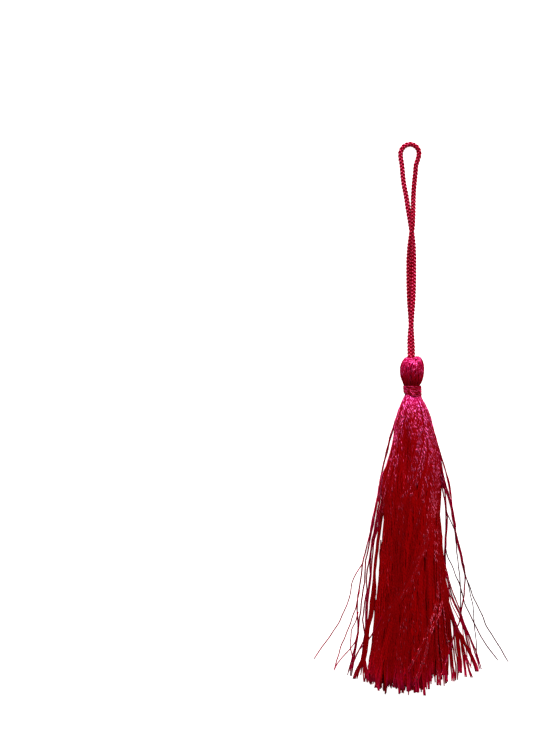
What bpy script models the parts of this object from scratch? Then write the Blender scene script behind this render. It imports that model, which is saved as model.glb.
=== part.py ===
"""Silk floss tassel, lying flat on a surface.

A skein of floss is folded over a braided cord and bound below the fold: the fold is the head,
the cut ends are the skirt. The tassel lies along Y with its cord towards +Y and rests on Z = 0.
The tables are in millimetres and are scaled by MM where a shape is made.
"""
import math
import random

import bmesh
import bpy
from mathutils import Vector

MM = 0.001

# The skirt's strands are drawn out of a grid of cells, LINES high and COLUMNS wide.
COLUMNS = 22
LINES = 8
ROOT_INSET = 0.026          # bare web round each root, where the whole grid measures 2 by 2
LOOSE_FROM = 1 - 4 / COLUMNS            # share of the half width past which threads have come loose
STRAY_FROM = 1 - 0.5 / COLUMNS          # and past which they have strayed
OUTERMOST = 1 - 1 / (COLUMNS * LINES)   # the last strand on each side
STRAND_HALF = 0.21          # half of a strand's thickness where it has room
STRAND_FILL = 0.38          # half thickness of a crowded strand, as a share of its room
ON_THE_WAY = (0.12, 0.25, 0.5, 0.75, 0.88)   # where the room between two sections is measured
TIP_FILL = 0.75             # a tip's thickness, as a share of its strand's
STAGGER = 0.45              # sideways shift of every second line, as a share of the pitch
WANDER = 0.06               # sideways wandering of a strand
LOCK_WAVE = 0.22            # how far strands draw together into locks
LOCK_COUNT = 9              # waves of that kind, in radians for each half width
SEED = 7

# Sections of the skirt from its root in the neck to the hem, where each tip has a y of its own.
# loaf is 0 where the section is round, as it was bound, and 1 where it lies as a low loaf.
# dome draws the upper strands in over the lower ones.
SKIRT_TABLE = ("y", "stray_left", "loose_left", "core_left", "core_right", "loose_right", "stray_right",
               "low", "high", "loose_high", "dome", "loaf")
SKIRT_ROWS = (
    (30.5, -1.15, -1.15, -0.95, 1.55, 1.75, 1.75, 1.25, 4.15, 4.15, 1.0, 0.00),
    (28.0, -2.80, -2.78, -2.30, 3.05, 3.53, 3.55, 0.20, 5.20, 5.20, 1.0, 0.15),
    (24.0, -4.00, -3.95, -3.20, 4.30, 5.05, 5.10, 0.00, 5.90, 5.90, 1.0, 0.50),
    (13.0, -6.40, -6.20, -5.00, 6.10, 7.20, 7.40, 0.00, 6.20, 5.40, 0.8, 1.00),
    (0.0, -9.60, -9.00, -6.70, 7.20, 10.4, 11.0, 0.00, 5.80, 3.20, 0.5, 1.00),
    (-16.0, -14.4, -12.8, -7.90, 8.40, 12.8, 14.4, 0.00, 4.90, 0.90, 0.0, 1.00),
    (-38.0, -22.8, -15.6, -9.20, 8.20, 16.6, 22.8, 0.00, 4.20, 0.50, 0.0, 1.00),
)
LOAF_DROP = 0.33            # how much lower the loaf is at the core's edge than in the middle
LOAF_POWER = 4

# The hem is a shallow arc, a little ragged, and shorter under the heap than on top of it.
HEM_Y = -40.0
HEM_CURVE = 0.022           # rise for each square millimetre away from the middle
HEM_LIMIT = -31.8           # where the strays end
HEM_RAGGED = 1.4
HEM_UNDERCUT = 1.2

# Sections of the neck and head, from the skirt's root up to the dimple that the cord comes out of.
HEAD_TABLE = ("y", "left", "right", "low", "high", "ridge", "lobe")
HEAD_ROWS = (
    (33.90, -1.15, 1.75, 1.25, 4.15, 0.00, 0.00),
    (34.00, -1.90, 2.35, 0.70, 4.70, 0.06, 0.00),
    (34.80, -2.24, 2.76, 0.10, 5.15, 0.10, 0.00),
    (36.50, -2.78, 3.16, -0.30, 5.42, 0.14, 0.00),
    (38.20, -2.58, 3.02, -0.28, 5.32, 0.14, 0.00),
    (39.15, -2.20, 2.70, 0.35, 4.95, 0.12, 0.20),
    (39.55, -1.75, 2.25, 0.85, 4.50, 0.08, 0.45),
    (39.35, -1.35, 1.85, 1.35, 4.00, 0.00, 0.00),
)

# The binding: thread wound round the neck, its lower edge slanting.
NECK_X = 0.30
NECK_Z = 2.70
BINDING_TOP = 33.60
BINDING_TURNS = 5
BINDING_PITCH = 0.52
BINDING_INNER = 1.76
BINDING_OUTER = 2.18
BINDING_GROOVE = 0.16       # depth between two turns
BINDING_SLANT = 0.16        # drop of the lower edge for each millimetre to the right
BINDING_SIDES = 36

# The hanging loop: one cord, from the head up its first leg, round the bight and back down.
CORD_DIAMETER = 1.15
CORD_STEP = 1.6             # from one point of its tube to the next
CURVE_SAMPLES = 24          # fine steps between two points of the route
CORD_ROUTE = (
    (0.40, 39.80, 2.10), (0.42, 41.20, 1.80), (0.42, 43.20, 1.25), (0.30, 45.60, 0.80),
    (0.13, 48.50, 0.60), (-0.08, 51.40, 0.60), (-0.32, 54.40, 0.60), (-0.46, 58.00, 0.60),
    (-0.50, 61.20, 0.64), (-0.44, 64.50, 1.02), (-0.14, 67.50, 1.76), (0.30, 70.50, 2.02),
    (0.52, 73.20, 1.82), (0.62, 76.00, 1.26), (0.72, 78.80, 0.74), (0.92, 81.60, 0.60),
    (1.20, 84.30, 0.60), (1.34, 86.00, 0.60), (1.80, 87.40, 0.60), (2.06, 88.80, 0.60),
    (1.56, 90.20, 0.60), (0.10, 90.95, 0.60), (-1.42, 90.50, 0.60), (-2.28, 89.20, 0.60),
    (-2.30, 87.60, 0.60), (-2.02, 86.00, 0.60), (-1.86, 84.00, 0.60), (-1.56, 81.40, 0.60),
    (-1.04, 78.80, 0.60), (-0.62, 76.00, 0.60), (-0.16, 73.20, 0.60), (0.26, 70.50, 0.60),
    (0.64, 67.50, 0.60), (0.86, 64.50, 0.60), (0.90, 61.20, 0.64), (0.82, 58.00, 1.06),
    (0.62, 54.40, 1.62), (0.34, 51.40, 1.92), (0.13, 48.50, 2.00), (-0.18, 45.60, 2.10),
    (-0.28, 43.20, 2.44), (-0.28, 41.20, 2.98), (-0.28, 39.80, 3.28),
)

SILK = {"name": "silk_floss", "colour": (0.36, 0.006, 0.022, 1.0), "roughness": 0.38}
THREAD = {"name": "binding_thread", "colour": (0.30, 0.005, 0.018, 1.0), "roughness": 0.42}
BRAID = {"name": "braided_cord", "colour": (0.33, 0.006, 0.030, 1.0), "roughness": 0.45}


def clear_scene():
    for leftover in list(bpy.data.objects):
        bpy.data.objects.remove(leftover)


def plain_material(finish):
    material = bpy.data.materials.new(finish["name"])
    material.use_nodes = True
    shader = material.node_tree.nodes["Principled BSDF"]
    shader.inputs["Base Color"].default_value = finish["colour"]
    shader.inputs["Roughness"].default_value = finish["roughness"]
    shader.inputs["Metallic"].default_value = 0.0
    return material


def add_object(name, data, finish):
    data.materials.append(plain_material(finish))
    piece = bpy.data.objects.new(name, data)
    bpy.context.scene.collection.objects.link(piece)
    return piece


def closed_mesh(name, bm):
    """Turns a finished bmesh into a mesh with its faces pointing out."""
    bmesh.ops.recalc_face_normals(bm, faces=bm.faces)
    mesh = bpy.data.meshes.new(name)
    bm.to_mesh(mesh)
    bm.free()
    return mesh


def named_rows(columns, rows):
    return [dict(zip(columns, row)) for row in rows]


def between(value, stops, levels):
    """Reads a short table along straight lines."""
    for low, high, start, end in zip(stops, stops[1:], levels, levels[1:]):
        if value <= high:
            return start + (end - start) * (value - low) / (high - low)
    return levels[-1]


def blend(start, end, share):
    return start + (end - start) * share


# ---- The yarn bundle: head, bound neck and skirt ----

def rim_angle(u, v):
    """The angle of a point of the grid's rim, the rim's points being spaced evenly round the head."""
    corner = math.pi / 2 * LINES / (COLUMNS + LINES)
    if abs(u) >= abs(v):
        return corner * v / u + (0 if u > 0 else math.pi)
    side = 1 if v > 0 else -1
    return side * (math.pi / 2 - (math.pi / 2 - corner) * u / abs(v))


def round_place(u, v, row):
    """A grid point's place in a round or oval section, the square grid drawn in to a disc."""
    across = u * math.sqrt(1 - v * v / 2)
    up = v * math.sqrt(1 - u * u / 2)
    x = blend(row["stray_left"], row["stray_right"], (across + 1) / 2)
    return x, blend(row["low"], row["high"], (up + 1) / 2)


def loaf_x(u, row):
    """Distance to the right, in a section that lies as a loaf with loose threads beside it."""
    stops = (-OUTERMOST, -STRAY_FROM, -LOOSE_FROM, LOOSE_FROM, STRAY_FROM, OUTERMOST)
    edges = [row[side] for side in SKIRT_TABLE[1:7]]
    locks = LOCK_WAVE * math.sin(LOCK_COUNT * u + 1) * max(0, 1 - (u / LOOSE_FROM) ** 2)
    return between(u, stops, edges) + locks


def loaf_high(u, row):
    edge = row["high"] * (1 - LOAF_DROP * (1 - row["dome"]))
    if abs(u) <= LOOSE_FROM:
        return blend(row["high"], edge, (abs(u) / LOOSE_FROM) ** LOAF_POWER)
    outward = (abs(u) - LOOSE_FROM) / (1 - LOOSE_FROM)
    return blend(row["loose_high"], edge, (1 - outward) ** 2)


def loaf_place(u, line, row):
    """A strand's place in a loaf section. In the outer columns the lines come to lie side by side."""
    lean = max(-1.0, min(1.0, -u / LOOSE_FROM))
    leaning = u + lean * 2 / COLUMNS * (line - (LINES - 1) / 2) / LINES
    rise = line / (LINES - 1)
    x = loaf_x(leaning, row) * math.sqrt(1 - row["dome"] * rise * rise / 2)
    top = loaf_high(leaning, row) * math.sqrt(1 - row["dome"] * leaning * leaning / 2)
    return x, blend(row["low"] + STRAND_HALF, top - STRAND_HALF, rise)


def strand_middles(row, chance, stagger):
    """The middle of every strand in one section of the skirt."""
    middles = []
    for number in range(COLUMNS * LINES):
        line, column = divmod(number, COLUMNS)
        u = -1 + (2 * column + 1) / COLUMNS
        v = -1 + (2 * line + 1) / LINES
        wander = chance.uniform(-WANDER, WANDER)
        shift = stagger * 2 / COLUMNS * (line % 2 - 0.5) * (1 - u * u)
        if abs(u) > LOOSE_FROM:
            wander, shift = 0, 0
        round_x, round_z = round_place(u + shift, v, row)
        x, z = loaf_place(u + shift, line, row)
        middles.append((blend(round_x, x + wander, row["loaf"]), blend(round_z, z, row["loaf"])))
    return middles


def strand_rooms(middles):
    """How far each strand's middle is from its nearest neighbour's, measured along X or Z."""
    return [min(max(abs(x - other_x), abs(z - other_z))
                for other, (other_x, other_z) in enumerate(middles) if other != number)
            for number, (x, z) in enumerate(middles)]


def part_way(middles, others, share):
    return [(blend(x, other_x, share), blend(z, other_z, share))
            for (x, z), (other_x, other_z) in zip(middles, others)]


def strand_halves(sections):
    """Half a strand's thickness in each section: less where the strands crowd, there or on the way."""
    halves = []
    for level, middles in enumerate(sections):
        near = [middles]
        for other in sections[max(0, level - 1):level] + sections[level + 1:level + 2]:
            near += [part_way(middles, other, share) for share in ON_THE_WAY]
        rooms = [min(room) for room in zip(*(strand_rooms(places) for places in near))]
        halves.append([min(STRAND_HALF, STRAND_FILL * room) for room in rooms])
    return halves


def hem_y(x, line, ragged):
    arc = min(HEM_LIMIT, HEM_Y + HEM_CURVE * x * x)
    return arc + HEM_RAGGED * ragged + HEM_UNDERCUT * (1 - line / (LINES - 1))


def draw_strands(bm, roots, cell, corners):
    """Draws each root out, section by section, into a strand that ends at the hem."""
    chance = random.Random(SEED)
    rows = named_rows(SKIRT_TABLE, SKIRT_ROWS)
    sections = [strand_middles(row, chance, STAGGER if level else 0) for level, row in enumerate(rows)]
    halves = strand_halves(sections)
    faces = roots
    for level, row in list(enumerate(rows))[1:]:
        faces = bmesh.ops.extrude_discrete_faces(bm, faces=faces)["faces"]
        at_hem = row is rows[-1]
        tip = TIP_FILL if at_hem else 1
        for face in faces:
            number = face[cell]
            line = number // COLUMNS
            half = halves[level][number]
            x, z = sections[level][number]
            if line == 0:
                z -= (STRAND_HALF - half) * row["loaf"]
            y = hem_y(x, line, chance.random()) if at_hem else row["y"]
            for vert, (side, rise) in zip(face.verts, corners[number]):
                vert.co = Vector((x + side * half * tip, y, z - half + half * (1 + rise) * tip)) * MM


def draw_head(bm, rim, angle):
    """Draws the grid's rim up through the neck and over the head, and closes it in the dimple."""
    edges = rim
    for row in named_rows(HEAD_TABLE, HEAD_ROWS):
        made = bmesh.ops.extrude_edge_only(bm, edges=edges)["geom"]
        edges = [part for part in made if isinstance(part, bmesh.types.BMEdge)]
        for vert in (part for part in made if isinstance(part, bmesh.types.BMVert)):
            turn = vert[angle]
            groove = row["ridge"] * (round(turn / (2 * math.pi) * len(edges)) % 2)
            half_x = (row["right"] - row["left"]) / 2 - groove
            half_z = (row["high"] - row["low"]) / 2 - groove
            x = (row["right"] + row["left"]) / 2 + half_x * math.cos(turn)
            z = (row["high"] + row["low"]) / 2 + half_z * math.sin(turn)
            y = row["y"] + row["lobe"] * math.cos(turn) ** 2
            vert.co = Vector((x, y, max(0.0, z))) * MM
    bmesh.ops.edgeloop_fill(bm, edges=edges)


def make_yarn_bundle():
    bm = bmesh.new()
    cell = bm.faces.layers.int.new("cell")
    angle = bm.verts.layers.float.new("angle")
    bmesh.ops.create_grid(bm, x_segments=COLUMNS, y_segments=LINES, size=1)
    roots = list(bm.faces)
    for face in roots:
        middle = face.calc_center_median()
        column = int((middle.x + 1) / 2 * COLUMNS)
        line = int((middle.y + 1) / 2 * LINES)
        face[cell] = line * COLUMNS + column
    bmesh.ops.inset_individual(bm, faces=roots, thickness=ROOT_INSET)
    rim = [edge for edge in bm.edges if edge.is_boundary]
    corners = {}
    for face in roots:
        middle = face.calc_center_median()
        sides = [vert.co - middle for vert in face.verts]
        corners[face[cell]] = [(math.copysign(1, side.x), math.copysign(1, side.y)) for side in sides]
    root = named_rows(SKIRT_TABLE, SKIRT_ROWS)[0]
    for vert in bm.verts:
        if vert.is_boundary:
            vert[angle] = rim_angle(vert.co.x, vert.co.y)
        x, z = round_place(vert.co.x, vert.co.y, root)
        vert.co = Vector((x, root["y"], z)) * MM
    draw_head(bm, rim, angle)
    draw_strands(bm, roots, cell, corners)
    return add_object("yarn_bundle", closed_mesh("yarn_bundle", bm), SILK)


# ---- The thread wound round the neck ----

def binding_profile():
    """Radius and y of the wound thread's section: a ridge for each turn, then the bore."""
    points = [(BINDING_OUTER - BINDING_GROOVE * (1 - step % 2), BINDING_TOP - step * BINDING_PITCH / 2)
              for step in range(2 * BINDING_TURNS + 1)]
    bottom = BINDING_TOP - BINDING_TURNS * BINDING_PITCH
    return points + [(BINDING_INNER, bottom), (BINDING_INNER, BINDING_TOP)]


def make_neck_binding():
    bm = bmesh.new()
    verts = [bm.verts.new(Vector((NECK_X + radius, y, NECK_Z)) * MM) for radius, y in binding_profile()]
    edges = [bm.edges.new(pair) for pair in zip(verts, verts[1:] + verts[:1])]
    bmesh.ops.spin(bm, geom=verts + edges, cent=Vector((NECK_X, 0, NECK_Z)) * MM, axis=(0, 1, 0),
                   angle=2 * math.pi, steps=BINDING_SIDES, use_merge=True)
    for vert in bm.verts:
        down = (BINDING_TOP * MM - vert.co.y) / (BINDING_TURNS * BINDING_PITCH * MM)
        vert.co.y -= BINDING_SLANT * (vert.co.x - NECK_X * MM) * down
    return add_object("neck_binding", closed_mesh("neck_binding", bm), THREAD)


# ---- The hanging loop ----

def smooth_route(points):
    """Fine points along a smooth curve through every point of the route."""
    route = [Vector(point) for point in points]
    padded = [2 * route[0] - route[1]] + route + [2 * route[-1] - route[-2]]
    fine = []
    for before, start, end, after in zip(padded, padded[1:], padded[2:], padded[3:]):
        for step in range(CURVE_SAMPLES):
            t = step / CURVE_SAMPLES
            fine.append(0.5 * (2 * start + (end - before) * t
                               + (2 * before - 5 * start + 4 * end - after) * t ** 2
                               + (3 * start - before - 3 * end + after) * t ** 3))
    return fine + [route[-1]]


def even_points(fine, step):
    """Points at an even step along a finely sampled curve, both ends included."""
    lengths = [0.0]
    for start, end in zip(fine, fine[1:]):
        lengths.append(lengths[-1] + (end - start).length)
    count = round(lengths[-1] / step)
    points = []
    at = 0
    for number in range(count + 1):
        goal = lengths[-1] * number / count
        while at < len(fine) - 2 and lengths[at + 1] < goal:
            at += 1
        share = (goal - lengths[at]) / (lengths[at + 1] - lengths[at])
        points.append(fine[at].lerp(fine[at + 1], share))
    return points


def make_hanging_loop():
    points = even_points(smooth_route(CORD_ROUTE), CORD_STEP)
    curve = bpy.data.curves.new("hanging_loop", "CURVE")
    curve.dimensions = "3D"
    curve.bevel_depth = CORD_DIAMETER / 2 * MM
    curve.bevel_resolution = 2
    curve.render_resolution_u = 0
    curve.use_fill_caps = True
    spline = curve.splines.new("POLY")
    spline.points.add(len(points) - 1)
    for place, point in zip(spline.points, points):
        place.co = (*(point * MM), 1.0)
    return add_object("hanging_loop", curve, BRAID)


clear_scene()
make_yarn_bundle()
make_neck_binding()
make_hanging_loop()
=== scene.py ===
# %% [markdown]
# # A silk floss tassel, lying flat
# A tassel is one skein of floss. It is laid over a cord, folded down and bound below the fold. The fold
# is the head, the bound part is the neck and the cut ends are the skirt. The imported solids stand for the
# tassel in a simulation, and they load here as a fixed frame: metres, the surface at Z = 0, the skirt
# pointing towards -Y and the hanging loop towards +Y. Every thread below is made round that frame.

# %% Load the frame
import math
import random

import bmesh
import bpy
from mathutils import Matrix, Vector


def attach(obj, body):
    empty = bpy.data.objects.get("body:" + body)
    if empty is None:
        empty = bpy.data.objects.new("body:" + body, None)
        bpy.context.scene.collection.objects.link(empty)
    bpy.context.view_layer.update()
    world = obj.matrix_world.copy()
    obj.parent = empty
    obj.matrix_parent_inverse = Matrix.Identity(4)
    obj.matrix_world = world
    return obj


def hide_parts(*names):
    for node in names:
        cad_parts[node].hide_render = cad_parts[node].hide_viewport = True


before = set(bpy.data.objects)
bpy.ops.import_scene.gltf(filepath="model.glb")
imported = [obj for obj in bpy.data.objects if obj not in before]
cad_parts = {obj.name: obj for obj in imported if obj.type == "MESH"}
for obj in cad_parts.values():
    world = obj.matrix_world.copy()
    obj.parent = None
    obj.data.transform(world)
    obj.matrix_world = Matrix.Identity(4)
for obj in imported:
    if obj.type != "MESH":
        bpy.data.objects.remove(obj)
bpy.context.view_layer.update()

MM = 0.001


# %% [markdown]
# ## The camera
# The tassel is seen from straight above through a long lens, so it hardly looks bent by distance. The
# picture is 533 by 730 pixels. One pixel is a fixed length on a plane a little above the surface, and the
# camera stands as high as makes that true. A helper turns a pixel into a place, at any height.

# %% Camera over the tassel
FRAME_PX = Vector((533, 730))
MM_PER_PX = 0.23739
OVER_ORIGIN_PX = Vector((411.0, 526.5))     # the pixel that looks down on the frame's origin
PLANE_MM = 2.5                              # height of the plane on which MM_PER_PX is true
LENS_MM, SENSOR_MM = 100.0, 36.0

eye_mm = Vector(((FRAME_PX.x / 2 - OVER_ORIGIN_PX.x) * MM_PER_PX,
                 (OVER_ORIGIN_PX.y - FRAME_PX.y / 2) * MM_PER_PX,
                 PLANE_MM + FRAME_PX.y * MM_PER_PX * LENS_MM / SENSOR_MM))


def add_object(name, data):
    """Puts an object made of a camera, a mesh or a light into the scene, at the origin."""
    made = bpy.data.objects.new(name, data)
    bpy.context.scene.collection.objects.link(made)
    return made


lens = bpy.data.cameras.new("overhead")
lens.sensor_fit = "VERTICAL"
lens.lens, lens.sensor_width, lens.sensor_height = LENS_MM, SENSOR_MM, SENSOR_MM
lens.clip_start, lens.clip_end = 0.01, 20
camera = add_object("overhead", lens)
camera.location = eye_mm * MM
bpy.context.scene.camera = camera


def over_pixel(px, py, height=0.0):
    """The place in mm, at that height, that the camera sees at a pixel."""
    x = (px - OVER_ORIGIN_PX.x) * MM_PER_PX
    y = (OVER_ORIGIN_PX.y - py) * MM_PER_PX
    share = (eye_mm.z - height) / (eye_mm.z - PLANE_MM)
    return Vector((eye_mm.x + (x - eye_mm.x) * share, eye_mm.y + (y - eye_mm.y) * share, height))


print("camera", round(eye_mm.z), "mm up")


# %% [markdown]
# ## Smooth lines
# A thread is a round section drawn along a line, so lines come first. A few named points give the line its
# way, and a smooth curve goes through all of them. Points at even steps along that curve then carry the
# sections. The same curve also smooths a table of sizes, so that no outline has a corner in it.

# %% A smooth curve through points, and even steps along it
def smooth_route(points, fine=12):
    """Fine points along a smooth curve through every point given."""
    route = [Vector(point) for point in points]
    padded = [2 * route[0] - route[1]] + route + [2 * route[-1] - route[-2]]
    line = []
    for before, start, end, after in zip(padded, padded[1:], padded[2:], padded[3:]):
        for step in range(fine):
            t = step / fine
            line.append(0.5 * (2 * start + (end - before) * t
                               + (2 * before - 5 * start + 4 * end - after) * t ** 2
                               + (3 * start - before - 3 * end + after) * t ** 3))
    return line + [route[-1]]


def lengths_along(points, start=0.0):
    """How far along a line each of its points is."""
    lengths = [start]
    for before, after in zip(points, points[1:]):
        lengths.append(lengths[-1] + (after - before).length)
    return lengths


def even_points(line, count):
    """count + 1 points at even steps along a fine line."""
    lengths = lengths_along(line)
    points, at = [], 0
    for number in range(count + 1):
        goal = lengths[-1] * (number / count)
        while at < len(line) - 2 and lengths[at + 1] < goal:
            at += 1
        share = (goal - lengths[at]) / max(1e-9, lengths[at + 1] - lengths[at])
        points.append(line[at].lerp(line[at + 1], share))
    return points


def limited(value, low, high):
    return max(low, min(high, value))


def smooth_step(value, low, high):
    """0 below low and 1 above high, with a smooth rise between them."""
    share = limited((value - low) / (high - low), 0.0, 1.0)
    return share * share * (3 - 2 * share)


def blend(start, end, share):
    return start + (end - start) * share


class Table:
    """A short table of sizes with named columns, read smoothly by its first column."""

    def __init__(self, columns, rows):
        self.columns = {name: number for number, name in enumerate(columns)}
        self.rows = rows

    def at(self, value, name):
        column, rows = self.columns[name], self.rows
        value = limited(value, rows[0][0], rows[-1][0])
        at = next(number for number in range(len(rows) - 1) if value <= rows[number + 1][0])
        low, high = rows[at], rows[at + 1]
        before, after = rows[max(0, at - 1)], rows[min(len(rows) - 1, at + 2)]
        span = high[0] - low[0]
        t = (value - low[0]) / span
        rise_in = (high[column] - before[column]) / (high[0] - before[0]) * span
        rise_out = (after[column] - low[column]) / (after[0] - low[0]) * span
        return ((2 * t ** 3 - 3 * t ** 2 + 1) * low[column] + (t ** 3 - 2 * t ** 2 + t) * rise_in
                + (3 * t ** 2 - 2 * t ** 3) * high[column] + (t ** 3 - t ** 2) * rise_out)


# %% [markdown]
# ## Drawing threads out
# Hundreds of threads could be curves with a bevel, but then nothing tells the material which way each one
# twists. Here every thread starts as a small circle, and all of a piece's threads are drawn out together:
# one extrude for each step makes the next stretch of every thread at once. Each corner keeps two notes for
# the material. "lay" is its place round the thread and its distance along it. "yarn" is the thread's own
# tone, how far it has come from the neck to the tip, and its "rise": how high it lies, or how bright it
# should be.

# %% Draw a whole set of threads from circles
def ahead_at(points, number):
    """The direction of a line at one of its points."""
    return (points[min(number + 1, len(points) - 1)] - points[max(number - 1, 0)]).normalized()


def square_to(ahead, vector):
    """The direction square to ahead that is nearest to a vector."""
    return (vector - ahead * vector.dot(ahead)).normalized()


def carried_frames(points):
    """For each point of a line, two directions across it that turn with it and don't spin."""
    frames, across = [], Vector((1, 0, 0))
    for number in range(len(points)):
        ahead = ahead_at(points, number)
        across = square_to(ahead, across)
        frames.append((across, ahead.cross(across)))
    return frames


def thread(points, half, tone=0.5, rise=1.0, flat=1.0, frames=None, start_along=0.0, from_neck=0.0):
    """One thread: its points in mm, half its thickness at each, and what its material needs to know."""
    halves = half if isinstance(half, list) else [half] * len(points)
    rises = rise if isinstance(rise, list) else [rise] * len(points)
    return {"points": points, "halves": halves, "tone": tone, "rises": rises, "flat": flat,
            "frames": frames or carried_frames(points), "along": lengths_along(points, start_along),
            "from_neck": from_neck}


def add_mesh(name, bm):
    """Turns a finished mesh into an object."""
    mesh = bpy.data.meshes.new(name)
    bm.to_mesh(mesh)
    bm.free()
    print(name, "has", sum(len(face.vertices) - 2 for face in mesh.polygons), "triangles")
    return add_object(name, mesh)


def is_cap(face, sides):
    """A thread's two end faces touch nothing but its sides, and each has a vertex of three edges."""
    return len(face.verts) == sides and all(len(vert.link_edges) == 3 for vert in face.verts)


def draw_threads(name, threads, sides, plies=0.0, lead=1.0):
    """Draws threads of equally many points out of circles. plies above 0 lets two plies show in relief."""
    bm = bmesh.new()
    lay = bm.verts.layers.float_vector.new("lay")
    yarn = bm.verts.layers.float_vector.new("yarn")
    own = bm.faces.layers.int.new("own")
    for number in range(len(threads)):
        made = bmesh.ops.create_circle(bm, cap_ends=True, radius=1, segments=sides)
        made["verts"][0].link_faces[0][own] = number
    faces = list(bm.faces)
    levels = len(threads[0]["points"])
    for level in range(levels):
        if level:
            faces = bmesh.ops.extrude_discrete_faces(bm, faces=faces)["faces"]
        for face in faces:
            item = threads[face[own]]
            point, half, along = item["points"][level], item["halves"][level], item["along"][level]
            across, up = item["frames"][level]
            for corner, vert in enumerate(face.verts):
                turn = 2 * math.pi * (corner + 0.5) / sides
                relief = 1 + plies * math.cos(2 * (turn - 2 * math.pi * along / lead))
                vert.co = (point + (across * math.cos(turn) * item["flat"] + up * math.sin(turn))
                           * half * relief) * MM
                vert[lay] = Vector((math.cos(turn), math.sin(turn), along))
                vert[yarn] = Vector((item["tone"], blend(item["from_neck"], 1.0, level / (levels - 1)),
                                     item["rises"][level]))
    bmesh.ops.holes_fill(bm, edges=[edge for edge in bm.edges if edge.is_boundary], sides=sides)
    bmesh.ops.recalc_face_normals(bm, faces=bm.faces)
    for face in bm.faces:
        face.smooth = not is_cap(face, sides)
    print(len(threads), "threads are drawn")
    return add_mesh(name, bm)


# %% [markdown]
# ## The hanging loop
# The tassel hangs by one small braided cord: up one leg, round the bight and down the other, with the two
# legs twisted about each other. It is a round braid of six strands. Three wind to the left and three to the
# right, and each goes over one strand and under the next. A plain tube with a pattern on it would have
# straight edges, so the strands are drawn one by one, each on its own winding way round the cord's middle.
# Where a strand passes over, its distance from the middle is largest, and its "rise" is 1. Where it passes
# under, its rise is low, and the material paints its colour darker there as painted shade.

# %% The cord's way, in mm, as in the imported solid
CORD_ROUTE = (
    (0.40, 39.80, 2.10), (0.42, 41.20, 1.80), (0.42, 43.20, 1.25), (0.30, 45.60, 0.80),
    (0.13, 48.50, 0.60), (-0.08, 51.40, 0.60), (-0.32, 54.40, 0.60), (-0.46, 58.00, 0.60),
    (-0.50, 61.20, 0.64), (-0.44, 64.50, 1.02), (-0.14, 67.50, 1.76), (0.30, 70.50, 2.02),
    (0.52, 73.20, 1.82), (0.62, 76.00, 1.26), (0.72, 78.80, 0.74), (0.92, 81.60, 0.60),
    (1.20, 84.30, 0.60), (1.34, 86.00, 0.60), (1.80, 87.40, 0.60), (2.06, 88.80, 0.60),
    (1.56, 90.20, 0.60), (0.10, 90.95, 0.60), (-1.42, 90.50, 0.60), (-2.28, 89.20, 0.60),
    (-2.30, 87.60, 0.60), (-2.02, 86.00, 0.60), (-1.86, 84.00, 0.60), (-1.56, 81.40, 0.60),
    (-1.04, 78.80, 0.60), (-0.62, 76.00, 0.60), (-0.16, 73.20, 0.60), (0.26, 70.50, 0.60),
    (0.64, 67.50, 0.60), (0.86, 64.50, 0.60), (0.90, 61.20, 0.64), (0.82, 58.00, 1.06),
    (0.62, 54.40, 1.62), (0.34, 51.40, 1.92), (0.13, 48.50, 2.00), (-0.18, 45.60, 2.10),
    (-0.28, 43.20, 2.44), (-0.28, 41.20, 2.98), (-0.28, 39.80, 3.28),
)
CORD_ROOTS = ((0.42, 38.60, 2.35), (-0.20, 38.60, 3.10))    # where the two legs end inside the head
BRAID_HANDS = 3             # strands that wind each way
BRAID_LEAD = 2.5            # length in which a strand goes once round
BRAID_STEPS = 22            # points of a strand for each lead
STRAND_REACH = 0.385        # a strand's mean distance from the cord's middle
STRAND_WEAVE = 0.12         # how far it moves out and in from there
STRAND_HALF_THICK = 0.17
STRAND_WIDE = 1.62          # a strand's width for each unit of its thickness
PRESSED = (49.0, 56.0, 64.0, 70.0)      # where the legs start and stop to press on each other, mm along Y
PRESSED_X = 0.2                         # the line between them
PRESS_IN, PRESS_WIDE = 0.22, 0.14       # how much closer they come, and how much wider each one gets

cord_line = smooth_route((CORD_ROOTS[0],) + CORD_ROUTE + (CORD_ROOTS[1],), fine=24)
cord_length = lengths_along(cord_line)[-1]
cord_points = even_points(cord_line, round(cord_length / BRAID_LEAD * BRAID_STEPS))
print("cord", round(cord_length, 1), "mm in", len(cord_points), "points")


# %% Six strands, each over one and under the next
chance = random.Random(11)      # each part sets a seed of its own, so no part changes another's threads


def pressed(y):
    """How hard the two legs press on each other, from 0 to 1."""
    return smooth_step(y, *PRESSED[:2]) * (1 - smooth_step(y, *PRESSED[2:]))


def braid_strand(hand, number):
    """One strand: hand is 1 or -1 for the way it winds, number its place among the strands of its hand."""
    step = cord_length / (len(cord_points) - 1)
    points, rises, outwards = [], [], []
    for level, (across, up) in enumerate(carried_frames(cord_points)):
        turn = 2 * math.pi * level * step / BRAID_LEAD
        angle = hand * turn + 2 * math.pi * number / BRAID_HANDS
        over = hand * math.cos(BRAID_HANDS * turn)
        outward = across * math.cos(angle) + up * math.sin(angle)
        middle = cord_points[level].copy()
        press = pressed(middle.y)
        middle.x = blend(middle.x, PRESSED_X, PRESS_IN * press)
        offset = outward * (STRAND_REACH + STRAND_WEAVE * over)
        offset.x *= 1 + PRESS_WIDE * press
        points.append(middle + offset)
        # where a strand dips under, its low rise paints its colour darker, as painted shade
        rises.append(0.5 + 0.5 * over)
        outwards.append(outward)
    frames = []
    for level, outward in enumerate(outwards):
        ahead = ahead_at(points, level)
        outward = square_to(ahead, outward)
        side = ahead.cross(outward)
        frames.append((side, outward))
        hangs = STRAND_HALF_THICK * math.hypot(outward.z, STRAND_WIDE * side.z)
        points[level].z = max(points[level].z, hangs)
    return thread(points, STRAND_HALF_THICK, tone=chance.uniform(0.2, 0.8), rise=rises, flat=STRAND_WIDE,
                  frames=frames, start_along=chance.uniform(0, 2))


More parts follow.
